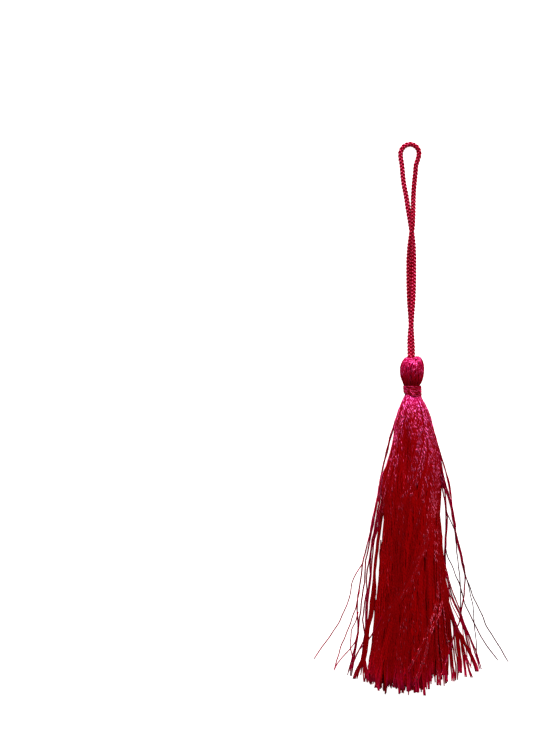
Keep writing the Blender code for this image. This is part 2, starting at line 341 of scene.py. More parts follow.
braid = draw_threads("hanging_braid", [braid_strand(hand, number) for hand in (1, -1)
                                       for number in range(BRAID_HANDS)], sides=6)
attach(braid, "root")
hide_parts("hanging_loop")
[point * MM for point in cord_points]


# %% [markdown]
# ## The skirt's heap
# The skirt is some hundreds of threads. They leave the neck as a tight round bundle, spread, and lie in a
# low heap that widens towards the hem. Its edges come from a short table of pixels, read smoothly. The heap's
# top falls off towards both edges, and a shallow cleft runs down it where two locks of floss part.

# %% Edges and heights of the heap
HEAP = Table(
    ("py", "left", "right", "low", "high", "edge", "loaf"), (
        (388.0, 406.2, 418.8, 1.25, 4.25, 1.00, 0.00),
        (396.0, 405.0, 420.6, 1.10, 4.75, 1.00, 0.00),
        (401.0, 402.4, 423.0, 0.70, 5.20, 0.95, 0.05),
        (406.0, 400.2, 425.2, 0.25, 5.55, 0.90, 0.15),
        (420.0, 396.0, 430.6, 0.00, 6.00, 0.75, 0.50),
        (439.0, 393.8, 435.4, 0.00, 6.20, 0.68, 0.80),
        (462.0, 388.6, 439.8, 0.00, 6.25, 0.62, 1.00),
        (485.0, 382.8, 440.8, 0.00, 6.15, 0.56, 1.00),
        (508.0, 384.6, 439.8, 0.00, 5.95, 0.52, 1.00),
        (531.0, 383.6, 440.8, 0.00, 5.70, 0.48, 1.00),
        (554.0, 381.4, 443.4, 0.00, 5.45, 0.45, 1.00),
        (577.0, 379.0, 445.8, 0.00, 5.20, 0.42, 1.00),
        (600.0, 377.6, 448.6, 0.00, 4.95, 0.40, 1.00),
        (622.0, 375.2, 450.2, 0.00, 4.75, 0.38, 1.00),
        (645.0, 372.0, 448.6, 0.00, 4.55, 0.36, 1.00),
        (668.0, 368.0, 448.6, 0.00, 4.35, 0.34, 1.00),
        (698.0, 364.0, 450.0, 0.00, 4.20, 0.32, 1.00),
    ))
EDGE_POWER = 3
CLEFT_PX, CLEFT_HALF_PX, CLEFT_DEEP = (406.5, 453.0), (3.4, 25.0), 1.2
HEM = Table(
    ("px", "py"), (
        (360.0, 680.0), (368.0, 681.0), (374.0, 683.0), (379.0, 688.0), (385.0, 685.0), (392.0, 686.0),
        (399.0, 689.0), (405.0, 688.0), (412.0, 689.5), (419.0, 689.5), (424.0, 691.0), (427.5, 686.0),
        (431.0, 679.5), (437.0, 680.5), (444.0, 680.0), (451.0, 677.5),
    ))


def heap_edge(py, u):
    """The pixel across, u going from -1 at the heap's left edge to 1 at its right edge."""
    return blend(HEAP.at(py, "left"), HEAP.at(py, "right"), (u + 1) / 2)


def heap_top(py, u):
    """Height in mm of the heap's top."""
    high, edge = HEAP.at(py, "high"), HEAP.at(py, "edge")
    across = (heap_edge(py, u) - CLEFT_PX[0]) / CLEFT_HALF_PX[0]
    down = (py - CLEFT_PX[1]) / CLEFT_HALF_PX[1]
    cleft = CLEFT_DEEP * math.exp(-across * across - down * down)
    return high * (1 - (1 - edge) * min(1.0, abs(u)) ** EDGE_POWER) - cleft


def heap_place(py, u, rise, half):
    """A thread's middle in the heap. rise goes from 0 at the bottom to 1 on top."""
    loaf = HEAP.at(py, "loaf")
    low, high = HEAP.at(py, "low"), HEAP.at(py, "high")
    v = 2 * rise - 1
    round_u, round_v = u * math.sqrt(1 - v * v / 2), v * math.sqrt(1 - u * u / 2)
    round_z = blend(low + half, high - half, (round_v + 1) / 2)
    loaf_z = half + low + rise * (heap_top(py, u) - low - 2 * half)
    height = blend(round_z, loaf_z, loaf)
    return over_pixel(heap_edge(py, blend(round_u, u, loaf)), py, max(half, height))


print("heap", [round((heap_edge(py, 1) - heap_edge(py, -1)) * MM_PER_PX, 1) for py in (396, 462, 554, 668)],
      "mm wide going down")


# %% [markdown]
# ## The skirt's threads
# A few hundred thick, plain threads make the core, and a cover of finer ones lies on it, so that the fine
# work goes where it shows. Threads draw together into locks, as hair does. Each lock sways a little, each
# thread wanders about its lock, and the upper threads on the right swing across towards the left. At the hem
# the cut tips draw together again, into small pointed tufts, and the threads underneath are shorter.
# Everything random comes from one source with set seeds, so each run makes the same skirt.

# %% Sizes of the threads, and of their locks and tufts
# A layer's threads across and deep, its lowest and highest rise, half a thread, and steps and sides of one.
CORE = dict(columns=44, lines=9, low=0.0, high=0.79, half=0.29, steps=22, sides=4)
COVER = dict(columns=62, lines=4, low=0.82, high=1.0, half=0.205, steps=34, sides=6)
SKIRT_TOP_PY = 389.0        # where the threads start, hidden inside the neck
STEP_EASE = 1.25            # above 1, their points are closer together near the neck
EDGE_U, EDGE_SWAY = 0.995, 0.6          # a thread's furthest place across, and how much less it sways there
THREAD_VARY = 0.12          # share by which a thread's thickness varies
TIP_THIN = 0.7              # thickness left at its tip
NECK_SQUEEZE, SQUEEZED_PY = 0.62, (394, 440)    # thickness left in the neck, and where it comes back
FREE_PY = (396, 470)        # stretch over which they come free of the neck
LOOSE_PY = (410, 640)       # stretch over which they come to follow their locks
WANDER_PX, WANDER_LENGTHS = 0.65, (62, 34, 19)
BOB_MM, BOB_LENGTHS = 0.06, (70, 31)    # a thread's own small ups and downs
LOCKS_ACROSS, LOCKS_DEEP = 15, 4
LOCK_PULL, LOCK_PULL_RIGHT, LOCK_RIGHT_U = 0.12, 0.36, (0.3, 0.9)
LOCK_SWAY_PX, SWAY_LENGTHS = 1.3, (150, 85)
SWING, SWING_RISE = 0.75, (0.80, 0.97)  # how far the upper threads on the right swing across
SWING_PX = 230              # length over which they do
TUFTS, TUFT_PULL, TUFT_PULL_RIGHT = 25, 0.40, 0.85     # tips draw together into tufts, more on the right
TUFT_RIGHT_U = (0.2, 0.6)
TUFT_PX, TUFT_END_PX = 55.0, 4.0        # above the hem, where they start and stop drawing together
TIP_TUFT_PX, TIP_THREAD_PX, TIP_UNDER_PX = 2.2, 1.2, 8.0
TOOTH_PX, TOOTH_PULL = 3.6, 0.45        # a tuft ends in a point: its edge threads are shorter and turn in
TOOTH_LONG_PX = 9           # length of that point
HEM_PY = 685                # line on which a thread's place along the hem is read


def waves(size, *lengths):
    """A smooth random line: one sine for each wavelength, with a phase and a size of its own."""
    parts = [(size * chance.uniform(0.5, 1.0), 2 * math.pi / length, chance.uniform(0, 2 * math.pi))
             for length in lengths]
    return lambda value: sum(high * math.sin(value * rate + phase) for high, rate, phase in parts)


# %% Locks, and the way of each thread
chance.seed(11)
locks = {}
for column in range(LOCKS_ACROSS):
    for line in range(LOCKS_DEEP):
        locks[column, line] = {
            "sway": waves(LOCK_SWAY_PX, *SWAY_LENGTHS), "tone": chance.uniform(-0.2, 0.2),
            "lift": chance.uniform(-0.06, 0.06), "pull": chance.uniform(0.7, 1.25),
            "shift": chance.uniform(-0.3, 0.3), "swing": chance.uniform(0.3, 1.3),
            "swing_from": chance.uniform(415, 460)}
tufts = [{"tip": chance.gauss(0, TIP_TUFT_PX), "shift": chance.uniform(-0.5, 0.5)} for _ in range(TUFTS)]


def skirt_thread(layer, column, line):
    """One thread of a layer, from the neck down to the hem."""
    columns, lines = layer["columns"], layer["lines"]
    u = -1 + (2 * column + 1 + (line % 2 - 0.5) + chance.uniform(-0.5, 0.5)) / columns
    u = limited(u, -EDGE_U, EDGE_U)
    rise = blend(layer["low"], layer["high"], (line + chance.uniform(-0.3, 0.3)) / (lines - 1))
    rise = limited(rise, 0.0, 1.0)
    lock_across = int((u + 1) / 2 * LOCKS_ACROSS)
    lock = locks[lock_across, min(LOCKS_DEEP - 1, int(rise * LOCKS_DEEP))]
    lock_u = -1 + (2 * lock_across + 1 + lock["shift"]) / LOCKS_ACROSS
    tuft_across = int((u + 1) / 2 * TUFTS)
    tuft = tufts[tuft_across]
    tuft_u = -1 + (2 * tuft_across + 1 + tuft["shift"]) / TUFTS
    tuft_pull = blend(TUFT_PULL, TUFT_PULL_RIGHT, smooth_step(u, *TUFT_RIGHT_U))
    swing = SWING * lock["swing"] * smooth_step(rise, *SWING_RISE) * max(0.0, u + 0.1)
    wander = waves(WANDER_PX, *WANDER_LENGTHS)
    bob = waves(BOB_MM, *BOB_LENGTHS)
    half = layer["half"] * (1 + chance.uniform(-THREAD_VARY, THREAD_VARY))
    hem = HEM.at(heap_edge(HEM_PY, u), "py") + tuft["tip"] + chance.gauss(0, TIP_THREAD_PX)
    hem -= TIP_UNDER_PX * (1 - rise) ** 1.5
    hem += TOOTH_PX * (0.35 - min(1.0, abs(u - tuft_u) * TUFTS) ** 1.5)
    points, halves = [], []
    for step in range(layer["steps"] + 1):
        py = blend(SKIRT_TOP_PY, hem, (step / layer["steps"]) ** STEP_EASE)
        free, loose_by = smooth_step(py, *FREE_PY), smooth_step(py, *LOOSE_PY)
        pull = blend(LOCK_PULL, LOCK_PULL_RIGHT, smooth_step(u, *LOCK_RIGHT_U)) * lock["pull"] * loose_by
        swung = -swing * smooth_step(py, lock["swing_from"], lock["swing_from"] + SWING_PX)
        to_tuft = tuft_pull * smooth_step(py, hem - TUFT_PX, hem - TUFT_END_PX)
        gathered = blend(blend(u, lock_u, pull), tuft_u, to_tuft)
        gathered = blend(gathered, tuft_u, TOOTH_PULL * smooth_step(py, hem - TOOTH_LONG_PX, hem))
        place = heap_place(py, gathered + swung, rise, half)
        sway = lock["sway"](py) * loose_by * (1 - EDGE_SWAY * abs(u) ** 4)
        place.x += MM_PER_PX * (sway + wander(py) * free)
        place.z = max(half, place.z + (bob(py) + lock["lift"] * loose_by * rise) * free)
        points.append(place)
        halves.append(half * blend(NECK_SQUEEZE, 1.0, smooth_step(py, *SQUEEZED_PY)))
    halves[-1] *= TIP_THIN
    tone = 0.5 + lock["tone"] + chance.uniform(-0.3, 0.3)
    # a low rise gives the lower threads a darker colour in the material, as painted shade
    return thread(points, halves, tone=tone, rise=rise, start_along=chance.uniform(0, 2))


def skirt_layer(name, layer):
    threads = [skirt_thread(layer, column, line) for line in range(layer["lines"])
               for column in range(layer["columns"])]
    return draw_threads(name, threads, sides=layer["sides"])


skirt_core, skirt_cover = skirt_layer("skirt_core", CORE), skirt_layer("skirt_cover", COVER)
for piece in (skirt_core, skirt_cover):
    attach(piece, "root")
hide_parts("yarn_bundle")


# %% [markdown]
# ## Loose, stray and crossing threads
# Beside the heap lie threads that have come away from it, singly or in thin locks, with bare surface between
# them, and a few stray plies end far out. Others cross the heap's top at a slant. A formula would make them
# too even, so each lock has a row of its own, with the pixels that it passes. A loose lock sinks to the
# surface. A crossing one rides on the heap's top, and where it leaves the heap it comes down beside it. Silk
# seems to shine only here and there, so a row may also say how its brightness fades on the way down. That
# brightness is painted light and shade: it lightens or darkens the thread's colour and changes its share of
# lustre.

# %% Sizes of the loose and crossing threads, and how they fade
LOOSE_STEPS = 40
NECK_PX, NECK_PY = 412.5, 390.5         # the pixel over the neck's middle
ROOT_BELOW_PY = 440.0       # a row that starts above this line comes out of the neck
ROOT_ASIDE = 0.25           # how far that root lies from the neck's middle towards the row's start
NECK_MIDDLE = 2.7           # height of the neck's middle, mm
LEAVES_NECK_PY = (391, 415)             # stretch over which a loose thread leaves that height
SINKS, SINK_CURVE = (0.05, 0.72), 1.2   # shares of its length between which it sinks to the surface
CROSSING_LIFT = 0.15        # how far a crossing thread stands above the heap's top threads
OFF_EDGE = (0.98, 1.12)     # places across, 1 being the heap's edge, between which it comes down
NECK_ROUND, NECK_ROUND_PY = 0.8, (394, 404)     # how much lower it is at the neck's sides, until where
BURIED, BURIED_SHARE = 0.55, 0.12       # how deep one that starts on the heap begins, and when it is out
ROW_WOBBLE_PX, ROW_WOBBLE_LENGTHS = 0.22, (46, 27, 15)
ROW_BOB_MM, ROW_BOB_LENGTH = 0.06, 40
ROW_TIP = [0.9, 0.7]        # thickness left at the last two points
# A fade is how bright a thread is on its way down: (py, brightness). The brightness is painted light and
# shade in the thread's colour and in its share of lustre.
BRIGHT = ((0, 1.0), (1, 1.0))
TO_SHEEN = ((440, 1.0), (600, 0.86))
TO_SOFT = ((440, 1.0), (600, 0.68))
TO_DULL = ((440, 1.0), (580, 0.52))
LOW_GLEAM = ((400, 1.0), (435, 0.72), (590, 0.62), (610, 1.12))
HALF_WAY_GLEAM = ((400, 1.0), (440, 0.8), (500, 0.8), (530, 1.0), (560, 1.0), (620, 0.75))
MUTED = ((495, 1.3), (530, 0.72))
TO_DARK = ((440, 0.9), (500, 0.55))


# %% Rows of loose and crossing threads
# A row is how many threads, half a thread, how high they start (or how high they lie beside the heap, for
# rows that ride over it), and the way: (px, py, how far they spread). It may end with a fade.
LOOSE_ROWS = (      # left of the heap, from the outermost thread inwards
    (2, 0.18, 4.2, (
        (402, 404, 0.6), (396.7, 417, 0.8), (394.1, 426, 0.8), (390.5, 437, 0.8), (387.8, 448, 0.8),
        (385, 459, 0.9), (382.2, 471, 0.9), (380.2, 482), (378.6, 492), (376.2, 503), (372.5, 520),
        (370, 533))),
    (1, 0.20, 4.2, (
        (398, 412), (394.8, 430), (392.3, 445), (389.2, 458), (385.6, 468), (381.2, 478), (378.8, 488),
        (376.4, 503), (374, 515), (371, 530), (368.2, 541), (366, 550), (363.4, 560), (362.2, 567),
        (361.4, 574), (360.4, 581), (359.2, 590), (358, 597), (357.3, 604), (357.4, 616), (358.2, 624),
        (357.4, 634), (355.8, 643), (354.2, 651), (351.4, 660), (349.8, 667), (347.4, 675)), MUTED),
    (1, 0.20, 4.2, (
        (399.2, 412), (396, 430), (393.5, 445), (390.4, 458), (387.2, 468), (382.8, 478), (380.4, 488),
        (377.6, 503), (374.8, 515), (372.2, 530), (369.8, 541), (368.2, 550), (366, 560), (365.2, 567),
        (364.8, 574), (365, 580), (363.8, 588), (362.4, 596), (361.2, 603), (360.8, 611), (359.2, 620),
        (358.6, 628), (358, 637), (356.4, 646), (354.6, 654), (352.6, 662), (351.4, 669),
        (350.2, 676)), MUTED),
    (1, 0.20, 4.4, (
        (400, 412), (396, 433), (392.6, 450), (388.6, 466), (384.2, 478), (381.2, 488), (378.4, 505),
        (377, 515), (374.6, 530), (372, 541), (370.8, 550), (369.4, 559), (368.4, 566), (367.2, 573),
        (366.6, 582), (367, 590), (365.6, 597), (364.4, 604), (363.8, 612), (363, 618), (363.8, 627),
        (364.8, 634), (362.6, 643), (358, 652), (354.6, 660), (352.8, 668), (351.8, 676)), MUTED),
    (2, 0.20, 4.4, (
        (401, 413, 1.4), (397.2, 433, 1.6), (393.9, 450, 1.6), (389.9, 466, 1.6), (385.9, 478, 1.6),
        (382.9, 488, 1.6), (380.1, 505, 1.6), (378.7, 515, 1.4), (376.4, 530, 1.6), (373.5, 541, 1.6),
        (372.4, 550, 1.6), (371.3, 560, 1.7), (370.9, 568, 1.3), (370.4, 576, 1), (369.4, 584, 1.2),
        (368.8, 592, 1.2), (367.3, 601, 1.3), (366.4, 611, 1.3), (366.4, 621, 1.3), (366.2, 630, 1.3),
        (365.2, 640, 1.3), (363.8, 650, 1.4), (362, 660, 1.8), (360.6, 668, 2.2), (359.8, 675, 2.6)), MUTED),
    (1, 0.18, 3.0, (
        (384, 612), (378.5, 624), (373.4, 632), (369, 639), (364, 644.5), (358.5, 651), (354, 660),
        (350, 671))),
    # right of the heap
    (2, 0.16, 4.4, (
        (425, 405), (433, 430, 0.5), (440, 452, 0.5), (444.5, 467, 0.6), (447.6, 477.5, 0.7),
        (449.6, 487, 0.7), (450.9, 495.5, 0.6), (452.5, 508, 0.4), (456, 527))),
    (2, 0.18, 4.8, (
        (424, 410, 1), (432, 438, 1.6), (438, 458, 2), (441.4, 475, 2.2), (443.9, 491, 2), (445.5, 503, 1.4),
        (446.4, 513, 1), (446.6, 524, 1), (446, 536, 1), (445.4, 548, 1), (444.8, 557, 1.2), (445, 568, 1.4),
        (447.6, 578, 1.6), (450.6, 588, 2), (454.6, 600, 2.4), (458.2, 608, 2), (460.8, 614, 1.2),
        (462.6, 621, 1), (466.6, 630, 1.2), (471, 639.6, 1.4), (473.8, 647, 1.4), (476.4, 655, 1.4),
        (478.8, 663, 1.4), (480.8, 669, 1.6)), TO_DARK),
    (1, 0.14, 1.8, (
        (441, 552), (445.8, 568), (448.8, 580), (452.2, 590), (456.4, 600), (460.6, 613), (464, 624),
        (468, 637), (470.6, 648), (472.6, 657), (474.2, 666))),
    (1, 0.14, 1.8, (
        (441, 560), (446.2, 574), (448, 584), (450.2, 594), (453, 602), (458.4, 613), (463, 625), (467, 638),
        (469.6, 650), (470.5, 660), (471, 668))),
    (1, 0.14, 1.8, (
        (442, 566), (446.6, 584), (449, 595), (452.8, 606), (457.6, 616), (461.6, 624), (463.5, 635),
        (466, 648), (467.4, 657))),
    (2, 0.20, 1.5, ((446, 594), (454.5, 621, 1), (462.2, 644, 1), (467, 663, 1), (472, 677.6, 1.2))),
    (1, 0.15, 1.5, ((447, 598), (456.5, 625), (463, 646.5), (468, 661), (471.8, 668.4))),
    # single plies that end far out on the left
    (1, 0.16, 1.6, (
        (364.4, 556), (362, 564), (353.6, 578), (350.6, 592), (348.8, 600.5), (344.5, 610.5), (338.8, 622),
        (332.5, 632.5), (325.6, 642.5), (319, 651), (313.8, 659.5))),
    (1, 0.16, 1.4, (
        (359.6, 590), (356, 606.5), (352.3, 618.5), (347.3, 631), (342.7, 642), (339, 653), (336.2, 663),
        (333.8, 670.5))),
    (1, 0.15, 1.2, ((359, 632), (355.6, 641), (349.6, 649), (343.6, 656), (338, 663), (334.2, 670.5))),
    (1, 0.15, 1.3, ((358.6, 612), (356.2, 620.5), (352.2, 628.5), (350.9, 637), (350.5, 648), (352, 657))),
)
EDGE_ROWS = (       # the outer lock on the right: over the heap's edge first, and then beside it
    (1, 0.19, 0.5, (
        (424.4, 405), (432.6, 430), (439.4, 452), (442.8, 472), (445.6, 485), (448.4, 493), (451.4, 504),
        (453.4, 515), (455.5, 530), (457.8, 541), (460.5, 552), (463, 562), (464.9, 573), (464.9, 584),
        (464, 597), (462.4, 605.5), (461, 612.5), (459.5, 621), (457.2, 627), (455, 632), (451.6, 645),
        (448, 655), (444.8, 663), (441.4, 672)), TO_DARK),
    (2, 0.19, 0.5, (
        (423.6, 405, 1), (431.4, 430, 1.2), (437.8, 452, 1.4), (441, 472, 1.6), (443.8, 485, 1.6),
        (447, 493, 1.4), (450.7, 504, 1.1), (453, 515, 1.1), (455.2, 530, 1.1), (457.5, 541, 1.1),
        (460.2, 552, 1.2), (462.6, 562, 1), (464.6, 572, 0.8), (465.2, 577)), TO_DARK),
)
STRAY_ROWS = (      # single plies that end far out on the right
    (1, 0.15, 1.8, (
        (446.2, 510), (448, 515), (450.9, 521.5), (454.5, 531), (456.2, 543), (457.2, 555), (458.6, 567),
        (459.8, 579), (460.9, 595), (460.6, 612), (463.6, 627), (466.5, 640), (470, 650), (474, 666))),
    (1, 0.16, 1.6, (
        (445.6, 546), (447.2, 555.5), (451.7, 565), (456, 575.5), (460.2, 586), (463.4, 599), (467.3, 609),
        (473.3, 621), (478.4, 631), (485, 643.3), (491.7, 652), (498.4, 660.5))),
    (1, 0.16, 1.8, (
        (462, 560), (465, 573.5), (470, 587), (475, 600.5), (481.7, 614.5), (487.4, 627), (496, 641),
        (502.8, 652), (508, 662))),
    (1, 0.13, 1.4, (
        (465, 574), (469.5, 589), (472.2, 603), (474, 619), (475.2, 633), (476.8, 644), (476.4, 656),
        (478.6, 664))),
)
CROSSING_ROWS = (   # over the heap, from the upper right to the lower left, and how high they lie beside it
    (4, 0.20, 0.0, (
        (424, 404, 2), (430, 422, 3), (434, 446, 4), (436, 476, 5), (434.4, 503, 5), (430, 525, 5),
        (423.6, 548, 5), (416, 575, 5.5), (409, 598, 6), (404, 625, 6), (400, 655, 6),
        (396, 687, 6)), TO_SHEEN),
    (8, 0.20, 0.0, (
        (424, 406, 3), (429, 422, 5), (433, 446, 7), (435, 470, 8), (434.8, 492, 8), (431, 516, 8),
        (424.6, 543, 8), (417, 564, 8.5), (408.6, 582.5, 8.5), (398, 600, 8), (387.6, 616, 7), (380, 632, 6),
        (376, 652, 5), (374, 672, 5), (373, 682, 5)), TO_SOFT),
    (2, 0.20, 0.0, (
        (423, 405, 1), (430, 428, 2), (435, 455, 2), (436.4, 485, 2), (434.6, 510, 1.4), (429.6, 535, 1.2),
        (423, 554, 1.2), (417.6, 566, 1.2), (411, 579, 1.2), (403.4, 593, 1.4), (396, 604, 1.4),
        (388, 614, 1.6), (381, 628, 2), (377, 650, 2), (375, 682, 2)), HALF_WAY_GLEAM),
    (2, 0.20, 0.0, (
        (423, 406), (430, 430, 1.5), (437, 460, 2), (438, 500, 2), (439, 545, 2), (439, 580, 1.6),
        (436.2, 606, 1.6), (430.8, 621, 1.4), (426.6, 633.5, 1.4), (422.4, 645, 1.4), (418.2, 652, 1.6),
        (411.8, 664.5, 2), (405, 675.5, 2.4)), LOW_GLEAM),
    (3, 0.20, 0.0, (
        (424, 408), (431, 434, 2), (437, 470, 2), (437.6, 510, 2), (440, 560, 2), (442, 590, 2),
        (442, 602, 2), (439.6, 613, 2), (433.8, 624, 2), (429.2, 637, 2), (426.6, 650, 2.2),
        (422.6, 664, 2.6), (418.4, 675, 3), (414.6, 686, 3.4)), LOW_GLEAM),
    (2, 0.19, 0.0, (
        (422, 406), (430, 436, 2), (436, 470, 2), (436.6, 500, 2), (436, 530, 2), (436, 560, 2),
        (437.4, 600, 2), (437.8, 627, 2.4), (438.8, 645, 2.8), (440.8, 664, 3),
        (442.6, 686, 3.4)), TO_SHEEN),
    (1, 0.19, 0.0, (
        (423, 406), (432, 440), (436, 480), (437, 520), (439, 560), (442, 600), (444.6, 620), (446, 636),
        (448.6, 650), (446.2, 662), (441.6, 674), (438, 684)), LOW_GLEAM),
    (4, 0.20, 0.0, (
        (421, 404), (427, 431, 3), (425.4, 450, 4), (417.6, 478, 4.4), (408, 500, 4.4), (402, 540, 5),
        (398, 580, 5), (393, 630, 5), (389, 686, 5)), TO_DULL),
    (4, 0.20, 0.0, (
        (418, 402), (421, 430, 3), (418, 452, 4), (410, 478, 5), (403, 500, 5), (398, 540, 5), (395, 590, 5),
        (397, 640, 5), (401, 689, 5)), TO_DULL),
    (3, 0.20, 0.0, (
        (422, 404), (429, 425, 2), (431.4, 448, 3), (426.6, 480, 3.4), (418, 520, 3.4), (411, 560, 4),
        (408, 610, 4), (409, 650, 4), (410, 689, 4)), TO_DULL),
    (2, 0.19, 0.0, (
        (408, 400), (401, 428, 2), (397, 460, 2), (392.6, 500, 2), (391, 560, 2), (386, 620, 2),
        (380, 660, 2), (376, 688, 2)), TO_DULL),
    (1, 0.19, 0.0, ((374, 626), (374, 655), (372, 668), (367, 676), (364, 680)), TO_SHEEN),
    # tufts that leave the heap on the right
    (4, 0.20, 0.3, (
        (443, 585, 1), (446, 600, 2), (451, 613, 3), (456, 627.5, 3), (461.6, 637.5, 2.2),
        (467.6, 648.6, 2.2), (472.2, 657.4, 2.4), (475.2, 664.6, 2.8), (477.2, 671.6, 3.2)), TO_DULL),
    (3, 0.20, 0.3, (
        (441, 580, 1), (444.6, 602, 2), (448.4, 622, 3), (449.2, 637, 3), (450.6, 650, 2.4), (452, 664, 2.4),
        (453.6, 681.4, 3)), TO_DULL),
    (2, 0.20, 0.3, (
        (442, 580, 1), (446.4, 604, 2), (451.4, 622, 3), (453.2, 640, 2.4), (455, 653, 2), (456.8, 667, 2.2),
        (456.9, 680, 2.4)), TO_DULL),
    (4, 0.20, 0.3, (
        (443, 582, 1), (448, 606, 2), (454, 622, 2.4), (457.2, 637, 2.6), (458.6, 651, 2.4),
        (459.8, 661, 2.8), (460.8, 673, 3.4)), TO_DULL),
    (2, 0.20, 0.3, (
        (444, 584, 1), (449, 608, 1.2), (455.6, 624, 1.2), (460.2, 637, 1.1), (462.6, 649, 1.1),
        (464.6, 663, 1.2), (466, 677.2, 1.6)), TO_DULL),
    # inside the loose threads on the left, a lock as red as the heap
    (5, 0.20, 0.6, (
        (402, 415, 2), (394, 456, 3), (386.4, 487, 3.2), (382.6, 507, 2.4), (381.4, 517, 2), (379.6, 530, 2),
        (378.2, 541, 1.8), (377.2, 550, 1.8), (375.5, 560, 1.6), (375.1, 568, 1.6), (374.4, 575, 1.8),
        (374.2, 584, 3), (374.2, 591, 3.6), (373.2, 597, 3.4), (371.9, 603, 3), (371.4, 610, 3.6),
        (370.8, 616, 3.4), (369.4, 622, 2.8), (367.6, 629, 2.8), (367, 637, 2.8), (366.4, 644, 3),
        (365.4, 652, 2.8), (364, 660, 3), (364.8, 668, 3.4), (366.2, 676, 5), (366.6, 682, 5.4)), TO_DULL),
    (4, 0.19, 0.5, (
        (374.4, 600, 1.6), (369.4, 622, 2), (366.4, 640, 2.4), (363.8, 655, 2.4), (360.4, 664, 2.4),
        (357.6, 671, 3), (354.8, 679, 4)), TO_DULL),
    (1, 0.18, 0.5, (
        (381, 540), (379.8, 560), (378.6, 590), (376.2, 606), (377.2, 622), (372, 645), (369.6, 660),
        (367.4, 674)), TO_DULL),
    (2, 0.20, 0.0, (
        (397, 540), (399, 570, 1), (401, 602, 1.4), (402.4, 640, 1.4), (402, 686, 1.4)), TO_DULL),
    (2, 0.20, 0.0, (
        (424.6, 500), (425.4, 530, 1), (426.2, 556, 1.4), (427.6, 590, 1.4), (430.4, 684, 1.4)), TO_DULL),
    # tufts that stand out beyond the hem
    (3, 0.20, 0.0, ((375, 590), (375.4, 640, 1.8), (376.6, 670, 2.2), (378.8, 690.8, 1.5)), TO_SOFT),
    (2, 0.20, 0.0, ((397, 580), (398, 650, 1), (399.2, 693.8, 1.1)), TO_SOFT),
    (3, 0.20, 0.0, ((404, 590), (406, 650, 2), (408.2, 691.4, 2.2)), TO_SOFT),
    (2, 0.20, 0.0, ((413, 590), (416, 660, 2.4), (417.4, 692.4, 3)), TO_SOFT),
    (3, 0.20, 0.0, ((418, 580), (421, 640, 2), (423, 670, 2.2), (424.7, 695.6, 1.3)), TO_SOFT),
    (3, 0.20, 0.0, ((424, 590), (426, 650, 2.2), (428.2, 689.4, 2.8)), TO_SOFT),
    (3, 0.20, 0.0, ((434, 600), (437, 650, 2), (438.6, 685.4, 2.6)), TO_SOFT),
    (2, 0.20, 0.0, ((438, 610), (443, 660, 1.2), (447.4, 681.8, 1.6)), TO_SOFT),
)


# %% Draw the loose and crossing threads
def faded(fade, py):
    """A fade's brightness at one line of pixels."""
    value = fade[0][1]
    for (start, _), (end, goal) in zip(fade, fade[1:]):
        value = blend(value, goal, smooth_step(py, start, end))
    return value


def height_on_heap(py, u, share, half, beside, from_neck):
    """A crossing thread rests on the heap's top threads, and past its edge it comes down beside it."""
    rest = heap_place(py, limited(u, -1.0, 1.0), 1.0, half).z + CROSSING_LIFT
    rest = blend(rest, half + beside, smooth_step(abs(u), *OFF_EDGE))
    rest -= NECK_ROUND * min(1.0, u * u) * (1 - smooth_step(py, *NECK_ROUND_PY))
    return rest if from_neck else rest - BURIED * (1 - smooth_step(share, 0.0, BURIED_SHARE))


def height_beside_heap(py, share, half, start_high, from_neck):
    """A loose thread sinks to the surface, and one from the neck starts at the height of its middle."""
    rest = half + (start_high - half) * (1 - smooth_step(share, *SINKS)) ** SINK_CURVE
    return blend(NECK_MIDDLE, rest, smooth_step(py, *LEAVES_NECK_PY)) if from_neck else rest


def drawn_lock(count, half, high, way, fade=BRIGHT, on_heap=False):
    """The threads of one row, side by side."""
    threads = []
    from_neck = way[0][1] < ROOT_BELOW_PY
    root = [(blend(NECK_PX, way[0][0], ROOT_ASIDE), NECK_PY, 1.0)] if from_neck else []
    line = smooth_route(root + [tuple(place) + (0.0,) * (3 - len(place)) for place in way])
    long = lengths_along([Vector(place[:2]) for place in line])[-1]
    places = even_points(line, LOOSE_STEPS)
    shares = [walked / long for walked in lengths_along(places)]
    shine = [faded(fade, place.y) for place in places]
    halves = [half * size for size in [1.0] * (LOOSE_STEPS - 1) + ROW_TIP]
    for number in range(count):
        aside = (number - (count - 1) / 2) / max(1, count - 1)
        wobble, bob = waves(ROW_WOBBLE_PX, *ROW_WOBBLE_LENGTHS), waves(ROW_BOB_MM, ROW_BOB_LENGTH)
        points = []
        for place, share in zip(places, shares):
            px, py = place.x + aside * place.z + wobble(place.y), place.y
            middle = (HEAP.at(py, "left") + HEAP.at(py, "right")) / 2
            u = (px - middle) / (HEAP.at(py, "right") - middle)
            if on_heap:
                rest = height_on_heap(py, u, share, half, high, from_neck)
            else:
                rest = height_beside_heap(py, share, half, high, from_neck)
            points.append(over_pixel(px, py, max(half, rest + bob(py) * (1 - share))))
        # the fade goes in as the thread's rise, which the material paints as light and shade
        threads.append(thread(points, halves, tone=chance.uniform(0.35, 0.95), rise=shine,
                              start_along=chance.uniform(0, 2),
                              from_neck=max(0.0, (way[0][1] - NECK_PY) / (way[-1][1] - NECK_PY))))
    return threads


def drawn_rows(rows, on_heap=False):
    return [item for row in rows for item in drawn_lock(*row, on_heap=on_heap)]


chance.seed(41)
loose_ones = drawn_rows(LOOSE_ROWS) + drawn_rows(EDGE_ROWS, on_heap=True)
loose = draw_threads("loose_threads", loose_ones, sides=5)
strays = draw_threads("stray_threads", drawn_rows(STRAY_ROWS), sides=5)
chance.seed(57)
crossing = draw_threads("crossing_threads", drawn_rows(CROSSING_ROWS, on_heap=True), sides=5)
for piece in (loose, strays, crossing):
    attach(piece, "root")


